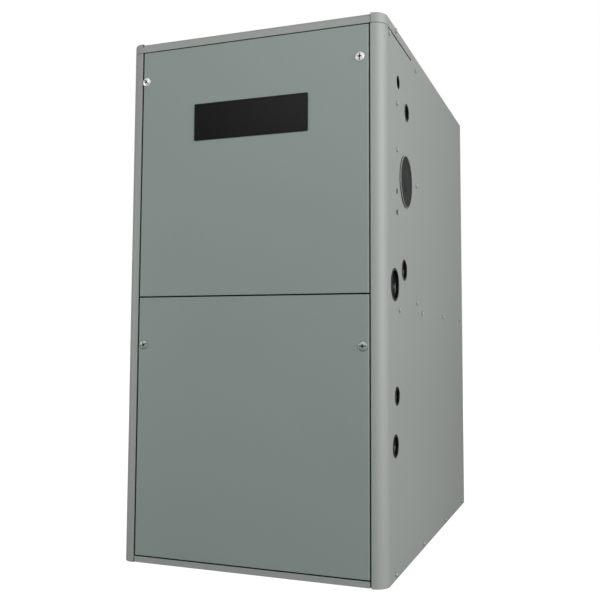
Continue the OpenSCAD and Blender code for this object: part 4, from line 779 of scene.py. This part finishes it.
# %% [markdown]
# ## Hoses and wiring
# A hose is one smooth tube along a route. The routes pass through the same points as the plain tubes
# they stand for, joined by the same curve, with more rings and sides. The real harness has a braided
# sleeve; here it is a bundle of coloured wires laid round each other in a slow twist, held by ties.

# %% Tubes along a route
def smooth_route(points, steps=12):
    """Points along a curve that passes through every given point."""
    points = [Vector(p) for p in points]
    route = []
    for i in range(len(points) - 1):
        before, start = points[max(i - 1, 0)], points[i]
        end, after = points[i + 1], points[min(i + 2, len(points) - 1)]
        for k in range(steps):
            t = k / steps
            route.append(0.5 * (2 * start + (end - before) * t
                                + (2 * before - 5 * start + 4 * end - after) * t * t
                                + (3 * start - before - 3 * end + after) * t ** 3))
    return route + [points[-1]]


def stations(route):
    """Each point of a route with two directions across it that don't twist, and how far along it is."""
    side, travelled = Vector((0.31, 0.62, 0.72)), 0.0
    for i, point in enumerate(route):
        ahead = (route[min(i + 1, len(route) - 1)] - route[max(i - 1, 0)]).normalized()
        side = (side - ahead * side.dot(ahead)).normalized()
        travelled += (point - route[i - 1]).length if i else 0.0
        yield point, side, ahead.cross(side), travelled


def tube(bm, route, radius, sides=16):
    rings = [[bm.verts.new(point + radius * (math.cos(a) * side + math.sin(a) * other))
              for a in (2 * math.pi * k / sides for k in range(sides))]
             for point, side, other, _ in stations(route)]
    for low, high in zip(rings, rings[1:]):
        for k in range(sides):
            bm.faces.new([low[k], low[(k + 1) % sides], high[(k + 1) % sides], high[k]])
    bm.faces.new(rings[0])
    bm.faces.new(rings[-1][::-1])


# %% Hoses
PRESSURE_HOSE = [(-0.138, -0.1496, 0.6054), (-0.138, -0.1496, 0.5974), (-0.124, -0.1916, 0.5894),
                 (-0.11, -0.2156, 0.5664), (-0.11, -0.2056, 0.5524), (-0.11, -0.1956, 0.5524)]
DRAIN_HOSE = [(-0.128, -0.1976, 0.4794), (-0.128, -0.2136, 0.4794), (-0.142, -0.2476, 0.4894),
              (-0.16605, -0.2716, 0.5044), (-0.17205, -0.2956, 0.4904), (-0.17205, -0.2956, 0.4764)]
for name, points, radius in (("pressure_hose", PRESSURE_HOSE, 4 * MM), ("drain_hose", DRAIN_HOSE, 8 * MM)):
    bm = bmesh.new()
    tube(bm, smooth_route(points), radius, sides=24)
    piece(name, bm, rubber, "cabinet", ["hoses"])

SLEEVE_WALL, SLEEVE_EASE = 4 * MM, 1.2 * MM
sleeve_box = next(box for box in solids_of("hoses") if box[0].x > 0)
sleeve_r = (sleeve_box[1].x - sleeve_box[0].x) / 2
sleeve_at = Vector(((sleeve_box[0].x + sleeve_box[1].x) / 2, (sleeve_box[0].y + sleeve_box[1].y) / 2,
                    sleeve_box[0].z))
sleeve_h = sleeve_box[1].z - sleeve_box[0].z
bm = bmesh.new()
lathe(bm, [(sleeve_r - SLEEVE_WALL, 0), *arc(sleeve_r - SLEEVE_EASE, SLEEVE_EASE, SLEEVE_EASE, -90, 0),
           *arc(sleeve_r - SLEEVE_EASE, sleeve_h - SLEEVE_EASE, SLEEVE_EASE, 0, 90),
           (sleeve_r - SLEEVE_WALL, sleeve_h), (sleeve_r - SLEEVE_WALL, 0)],
      Matrix.Translation(sleeve_at), sides=72)
piece("vent_sleeve", bm, rubber, "cabinet", ["hoses"])
print("hoses: 2 and the vent sleeve")

# %% Wires
MAIN_HARNESS = [(-0.092, -0.2149, 0.2864), (-0.092, -0.2296, 0.2864), (-0.104, -0.2616, 0.3304),
                (-0.104, -0.2696, 0.3954), (-0.104, -0.2696, 0.4174), (-0.104, -0.2696, 0.4384),
                (-0.114, -0.2776, 0.5284), (-0.122, -0.2856, 0.6234), (-0.146, -0.2536, 0.6814),
                (-0.15, -0.2356, 0.7014), (-0.15, -0.2356, 0.7174)]
INDUCER_LEAD = [(-0.09, -0.2179, 0.3154), (-0.09, -0.2336, 0.3154), (-0.056, -0.2696, 0.3874),
                (-0.056, -0.2696, 0.4174), (-0.056, -0.2696, 0.4324), (-0.026, -0.2816, 0.4684),
                (0.03825, -0.2896, 0.4964), (0.05225, -0.2876, 0.5104), (0.06225, -0.2876, 0.5104)]
BLOWER_LEAD = [(0.1243, 0.026, 0.222), (0.136, 0.026, 0.222), (0.146, -0.03, 0.218), (0.134, -0.1, 0.216),
               (0.13, -0.1596, 0.2184), (0.11, -0.2016, 0.2104), (0.066, -0.2166, 0.2284),
               (0.066, -0.2166, 0.2441)]
WIRE_COLOURS = {"white": srgb(214, 212, 204), "red": srgb(170, 32, 26), "yellow": srgb(214, 176, 44),
                "blue": srgb(38, 66, 142), "brown": srgb(88, 54, 34)}
wire_finish = {name: moulded("wire_" + name, colour, 0.38, texture=0.5 * MM, dust=0.05)
               for name, colour in WIRE_COLOURS.items()}
TWIST = 2 * math.pi / 0.11
TIE_EVERY, TIE_HALF = 62 * MM, 1.8 * MM


def bundle(name, points, radius, colours, wire_r):
    """Wires laid round each other in a slow twist, inside the radius of the plain cable, with ties."""
    route = smooth_route(points)
    for k, colour in enumerate(colours):
        start = 2 * math.pi * k / len(colours)
        strand = [point + (radius - wire_r) * (math.cos(start + TWIST * s) * side
                                              + math.sin(start + TWIST * s) * other)
                  for point, side, other, s in stations(route)]
        bm = bmesh.new()
        tube(bm, strand, wire_r, sides=12)
        piece("%s_%s" % (name, colour), bm, wire_finish[colour], "cabinet", ["wiring"])
    bm = bmesh.new()
    passed = TIE_EVERY / 2
    for (point, side, other, s), ahead_point in zip(stations(route), route[1:]):
        if s > passed:
            passed += TIE_EVERY
            lathe(bm, [(radius - 0.6 * MM, -TIE_HALF), (radius + 0.2 * MM, -TIE_HALF),
                       (radius + 0.35 * MM, 0), (radius + 0.2 * MM, TIE_HALF), (radius - 0.6 * MM, TIE_HALF),
                       (radius - 0.6 * MM, -TIE_HALF)], facing(point, ahead_point - point), sides=24)
    piece(name + "_ties", bm, black_plastic, "cabinet", ["wiring"])


bundle("main_harness", MAIN_HARNESS, 6 * MM, ["white", "red", "yellow", "blue", "brown"], 2.15 * MM)
bundle("inducer_lead", INDUCER_LEAD, 4 * MM, ["white", "red", "blue"], 1.8 * MM)
bundle("blower_lead", BLOWER_LEAD, 4 * MM, ["brown", "white", "yellow"], 1.8 * MM)

FLANGE_R, NECK_R, BORE_R, GROMMET_EASE = 13 * MM, 9.9 * MM, 6.3 * MM, 1.0 * MM
bm = bmesh.new()
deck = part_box("blower_deck")
for spot in (MAIN_HARNESS[4], INDUCER_LEAD[3]):
    top, low = deck[1][2] + 2 * MM, deck[1][2] - 3 * MM
    lathe(bm, [(BORE_R, low), *arc(FLANGE_R - GROMMET_EASE, low + GROMMET_EASE, GROMMET_EASE, -90, 90),
               (NECK_R, low + 2 * MM), (NECK_R, top - 2 * MM),
               *arc(FLANGE_R - GROMMET_EASE, top - GROMMET_EASE, GROMMET_EASE, -90, 90), (BORE_R, top),
               (BORE_R, low)], Matrix.Translation((spot[0], spot[1], 0)))
piece("wire_grommets", bm, rubber, "cabinet", ["wiring"])
print("wires: 3 bundles with ties, 2 grommets")

# %% [markdown]
# ## Coil fins
# Condensing coils have a fin every few millimetres, which the construction model thins out. The ones
# between are added here. A fin is pressed with shallow ripples, which stiffen it and stir the gas, so
# it is a strip of short facets and not a flat sheet.

# %% Coil fins
FINS_BETWEEN, RIPPLE, RIPPLE_PITCH, FIN_T = 3, 0.8 * MM, 12 * MM, 0.25 * MM
coil_solids = [box for box in solids_of("secondary_coil") if box[1].y - box[0].y < 1 * MM]
fin_places = sorted(box[0].y for box in coil_solids)
bm = bmesh.new()
for near, far in zip(fin_places, fin_places[1:]):
    for k in range(1, FINS_BETWEEN + 1):
        y = near + (far - near) * k / (FINS_BETWEEN + 1)
        low, high = coil_solids[0]
        facets = round((high.z - low.z) / RIPPLE_PITCH * 2)
        rows = []
        for i in range(facets + 1):
            z = low.z + (high.z - low.z) * i / facets
            lean = RIPPLE * (i % 2)
            rows.append([bm.verts.new((x, y + lean + t, z)) for t in (0, FIN_T) for x in (low.x, high.x)])
        for a, b in zip(rows, rows[1:]):
            for p, q in ((0, 1), (1, 3), (3, 2), (2, 0)):
                bm.faces.new([a[p], a[q], b[q], b[p]])
        bm.faces.new([rows[0][i] for i in (0, 1, 3, 2)])
        bm.faces.new([rows[-1][i] for i in (0, 2, 3, 1)])
coil_finish = Finish("coil_aluminium", metallic=0.9)
streak = coil_finish.noise(1.0, at=coil_finish.stretched(400, 400, 30))
water_mark = coil_finish.between(coil_finish.noise(40 * MM, detail=4.0), 0.5, 0.7)
coil_finish.set(base_color=coil_finish.mix(water_mark * 0.5, srgb(204, 206, 208), srgb(150, 152, 150)),
                roughness=0.26 + 0.2 * streak + 0.1 * water_mark,
                normal=coil_finish.bump(streak, 0.02 * MM, coil_finish.rounded(0.2 * MM)))
cover(coil_finish, "secondary_coil")
piece("coil_fins", bm, coil_finish, "cabinet")
print("coil: %d fins added" % (FINS_BETWEEN * (len(fin_places) - 1)))

# %% [markdown]
# ## Control board, transformer and capacitor
# The board is a green sheet with copper tracks under its varnish, seen as slightly raised lines at
# right angles. Relays, connectors and spade terminals are moulded blocks with eased edges. The
# transformer is a stack of steel sheets round a taped winding, and the capacitor a drawn oval can
# with a rolled rim.

# %% Control board
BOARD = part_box("control_board")
BOARD_CORNER = Vector((BOARD[0][0], BOARD[1][1], BOARD[0][2]))


def on_board(x, out, z):
    """Two corners on the board, from spans in mm: along it, out from the panel, and up it."""
    return (BOARD_CORNER + Vector((x[0], -out[1], z[0])) * MM,
            BOARD_CORNER + Vector((x[1], -out[0], z[1])) * MM)


varnish = Finish("green_varnish", coat_weight=0.5, coat_roughness=0.12)
spot = varnish.place()
tracks = varnish.node("TexBrick", {}, {"Vector": varnish.node("CombineXYZ", {}, {
    0: varnish.part(spot, 0), 1: varnish.part(spot, 2), 2: 0.0}), "Scale": 48.0, "Mortar Size": 0.03,
    "Color1": (0, 0, 0, 1), "Color2": (0, 0, 0, 1), "Mortar": (1, 1, 1, 1)}, out="Fac")
varnish.set(base_color=varnish.mix(tracks * 0.8, srgb(20, 74, 44), srgb(54, 118, 66)), roughness=0.28,
            normal=varnish.bump(tracks, 0.04 * MM))

bm = bmesh.new()
block(bm, *on_board((0, 150), (6, 7.6), (0, 110)), radius=0.3 * MM)
piece("circuit_board", bm, varnish, "cabinet", ["control_board"])

bm = bmesh.new()
for k in range(3):
    block(bm, *on_board((8 + 34 * k, 34 + 34 * k), (7.5, 27), (64, 88)), radius=1.0 * MM)
    block(bm, *on_board((11 + 34 * k, 31 + 34 * k), (27, 27.3), (67, 85)), radius=0.1 * MM)
block(bm, *on_board((112, 136), (7.5, 20), (20, 92)), radius=0.8 * MM)
piece("board_relays", bm, black_plastic, "cabinet", ["control_board"])

bm = bmesh.new()
for x, out, z in (((18, 82), 15, (6, 18)), ((32, 72), 18, (32, 50))):
    low, high = on_board(x, (7.5, out), z)
    block(bm, low, high, radius=0.6 * MM)
    ways = round((x[1] - x[0]) / 6)
    for k in range(ways):
        middle = x[0] + (k + 0.5) * (x[1] - x[0]) / ways
        socket = on_board((middle - 1.8, middle + 1.8), (out, out + 0.8), (z[0] + 2, z[1] - 2))
        block(bm, *socket, radius=0.3 * MM)
for x in (6, 144):
    for z in (6, 104):
        post = BOARD_CORNER + Vector((x, 0, z)) * MM
        lathe(bm, [(0, 0), (3 * MM, 0), (3 * MM, 6 * MM), (1.6 * MM, 6.4 * MM), (1.9 * MM, 9.4 * MM),
                   (0.6 * MM, 11 * MM), (0, 11 * MM)], facing(post, (0, -1, 0)), sides=20)
piece("board_connectors", bm, white_plastic, "cabinet", ["control_board"])

bm = bmesh.new()
for k in range(7):
    block(bm, *on_board((7 + 13 * k, 15 + 13 * k), (7.5, 9.5), (96, 106)), radius=0.3 * MM)
    block(bm, *on_board((7.8 + 13 * k, 14.2 + 13 * k), (9.5, 17), (100.6, 101.4)), radius=0.15 * MM)
piece("board_terminals", bm, bright_zinc, "cabinet", ["control_board"])
bm = bmesh.new()
block(bm, *on_board((88, 104), (7.5, 16), (30, 34.5)), radius=0.5 * MM)
lathe(bm, [(0, 6.5 * MM), *arc(0, 4.5 * MM, 2 * MM, 90, 0), (2 * MM, 0), (0, 0)],
      facing(BOARD_CORNER + Vector((98, -7.5, 44)) * MM, (0, -1, 0)), sides=24)
piece("board_fuse_and_light", bm, red_plastic, "cabinet", ["control_board"])
print("control board: 5 pieces")

# %% Transformer and capacitor
core_low, core_high = (Vector(corner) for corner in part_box("transformer"))
FOOT_T, WINDING_OUT = 3 * MM, 8 * MM
laminated = Finish("laminated_steel", metallic=0.7)
sheets = laminated.node("TexWave", {"bands_direction": "Z"}, {"Vector": laminated.place(), "Scale": 330.0},
                        out="Fac")
laminated.set(base_color=laminated.mix(sheets, srgb(66, 66, 68), srgb(104, 104, 106)), roughness=0.42,
              normal=laminated.bump(sheets, 0.12 * MM))
bm = bmesh.new()
core_front = core_low.y + WINDING_OUT
block(bm, (core_low.x + 6 * MM, core_front, core_low.z),
      (core_high.x - 6 * MM, core_high.y - FOOT_T, core_high.z), radius=0.8 * MM)
piece("transformer_core", bm, laminated, "cabinet", ["transformer"])
bm = bmesh.new()
block(bm, (core_low.x, core_high.y - FOOT_T, core_low.z), core_high, radius=0.6 * MM)
for x in (core_low.x + 3 * MM, core_high.x - 3 * MM):
    for z in (core_low.z + 8 * MM, core_high.z - 8 * MM):
        lathe(bm, [(0, 2.2 * MM), (2.0 * MM, 2.2 * MM), (2.8 * MM, 1.4 * MM), (2.8 * MM, 0)],
              facing((x, core_high.y - FOOT_T, z), (0, -1, 0)), sides=6)
piece("transformer_foot", bm, galvanised, "cabinet", ["transformer"])
taped = Finish("amber_tape", specular_ior_level=0.55)
layers = taped.node("TexWave", {"bands_direction": "X"}, {"Vector": taped.place(), "Scale": 60.0,
                                                         "Distortion": 0.6}, out="Fac")
taped.set(base_color=taped.mix(layers, srgb(178, 130, 48), srgb(206, 162, 76)), roughness=0.3 + 0.1 * layers,
          normal=taped.bump(layers, 0.08 * MM))
bm = bmesh.new()
block(bm, (core_low.x + 12 * MM, core_low.y, core_low.z + 10 * MM),
      (core_high.x - 12 * MM, core_front + 2 * MM, core_high.z - 10 * MM), radius=4 * MM)
piece("transformer_winding", bm, taped, "cabinet", ["transformer"])

can_low, can_high = (Vector(corner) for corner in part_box("run_capacitor"))
CAN_R, BLADE_H, RIM, LID_DROP = (can_high.y - can_low.y) / 2, 8 * MM, 0.9 * MM, 2.2 * MM
can_spread = (can_high.x - can_low.x) / 2 - CAN_R
can_h = can_high.z - can_low.z - BLADE_H
can_at = Matrix.Translation(((can_low.x + can_high.x) / 2, (can_low.y + can_high.y) / 2, can_low.z))
drawn = Finish("drawn_can", metallic=0.95)
pull = drawn.noise(1.0, detail=4.0, at=drawn.stretched(900, 900, 25))
drawn.set(base_color=drawn.mix(pull, srgb(190, 192, 194), srgb(170, 172, 174)), roughness=0.24 + 0.18 * pull,
          normal=drawn.bump(pull, 0.02 * MM, drawn.rounded(0.6 * MM)))
bm = bmesh.new()
lathe(bm, [(0, 0), *arc(CAN_R - RIM - 2 * MM, 2 * MM, 2 * MM, -90, 0), (CAN_R - RIM, can_h - 5 * MM),
           *arc(CAN_R - RIM, can_h - RIM * 2, RIM, -40, 90), (CAN_R - 2 * RIM, can_h),
           (CAN_R - 2.4 * RIM, can_h - LID_DROP), (0, can_h - LID_DROP)], can_at, sides=64, spread=can_spread)
for sign in (-1, 1):
    middle = can_at @ Vector((sign * 9 * MM, 0, can_h))
    block(bm, middle - Vector((3, 0.4, LID_DROP / MM)) * MM, middle + Vector((3, 0.4, BLADE_H / MM)) * MM,
          radius=0.3 * MM)
    lathe(bm, [(4.4 * MM, can_h - LID_DROP), (4.4 * MM, can_h - 0.6 * MM), (3.6 * MM, can_h), (0, can_h)],
          can_at @ Matrix.Translation((sign * 9 * MM, 0, 0)), sides=24)
piece("capacitor_can", bm, drawn, "cabinet", ["run_capacitor"])
print("transformer in 3 pieces, capacitor in 1")

# %% [markdown]
# ## Studio
# The picture shows the furnace alone on white, lit softly from high in front and from the right,
# so that the rounded corner post is brightest and the side falls off towards the back. Lamps 2 to
# 4 m away do that: being near, they are weaker at the back of the side. A weaker lamp on the left
# lights the left post, and one behind keeps the back from going dark. The floor is dull for the
# light that falls on the furnace and near white where the camera looks at it, so it keeps a shadow;
# further out its glow rises to the white of the backdrop.

# %% Floor and backdrop
FLOOR_HALF = 30.0
FLOOR_GREY = 0.22
GLOW_NEAR = 0.90
GLOW_FAR = 1.0


def seen_directly(finish):
    """1 where the camera looks and 0 for light that falls on the furnace."""
    return finish.node("LightPath", out="Is Camera Ray")


def one_face(name, corners):
    mesh = bpy.data.meshes.new(name)
    mesh.from_pydata(corners, [], [tuple(range(len(corners)))])
    made = bpy.data.objects.new(name, mesh)
    bpy.context.scene.collection.objects.link(made)
    return made


floor = one_face("studio_floor", [(x * FLOOR_HALF, y * FLOOR_HALF, 0)
                                  for x, y in ((-1, -1), (1, -1), (1, 1), (-1, 1))])
floor_white = Finish("floor_white", roughness=0.9, emission_strength=1.0)
away = floor_white.node("VectorMath", {"operation": "LENGTH"}, {0: floor_white.place()}, out="Value")
glow = floor_white.between(away, 0.6, 3.0, GLOW_NEAR, GLOW_FAR)
floor_white.set(emission_color=floor_white.mix(seen_directly(floor_white) * glow, (0, 0, 0, 1), (1, 1, 1, 1)),
                base_color=(FLOOR_GREY, FLOOR_GREY, FLOOR_GREY, 1))
floor.data.materials.append(floor_white.material)

# %% Sky and lamps
SKY_GREY = 0.27
FRONT = {"at": (-0.4, -2.5, 1.8), "size": 1.2, "watts": 17.5}
SIDE = {"at": (2.2, -1.05, 1.2), "size": 2.0, "watts": 65}
LEFT = {"at": (-2.1, -1.2, 0.5), "size": 1.2, "watts": 18}
BACK = {"at": (-1.8, 3.0, 2.0), "size": 2.5, "watts": 45}
LOOK_AT = Vector((0.0, 0.0, 0.45))

world = bpy.data.worlds.new("studio")
bpy.context.scene.world = world
world.use_nodes = True
sky = Nodes(world.node_tree)
sky_shader = world.node_tree.nodes["Background"]
ambient = (SKY_GREY, SKY_GREY, SKY_GREY, 1)
sky.feed(sky_shader.inputs["Color"], sky.mix(seen_directly(sky), ambient, (1, 1, 1, 1)))


def lamp(name, at, size, watts):
    data = bpy.data.lights.new(name, "AREA")
    data.shape, data.size, data.energy = "SQUARE", size, watts
    made = bpy.data.objects.new(name, data)
    made.location = at
    made.rotation_euler = (LOOK_AT - Vector(at)).to_track_quat("-Z", "Y").to_euler()
    bpy.context.scene.collection.objects.link(made)


for name, spec in (("front_lamp", FRONT), ("side_lamp", SIDE), ("left_lamp", LEFT), ("back_lamp", BACK)):
    lamp(name, **spec)
print("studio: 4 lamps, sky at %.2f" % SKY_GREY)
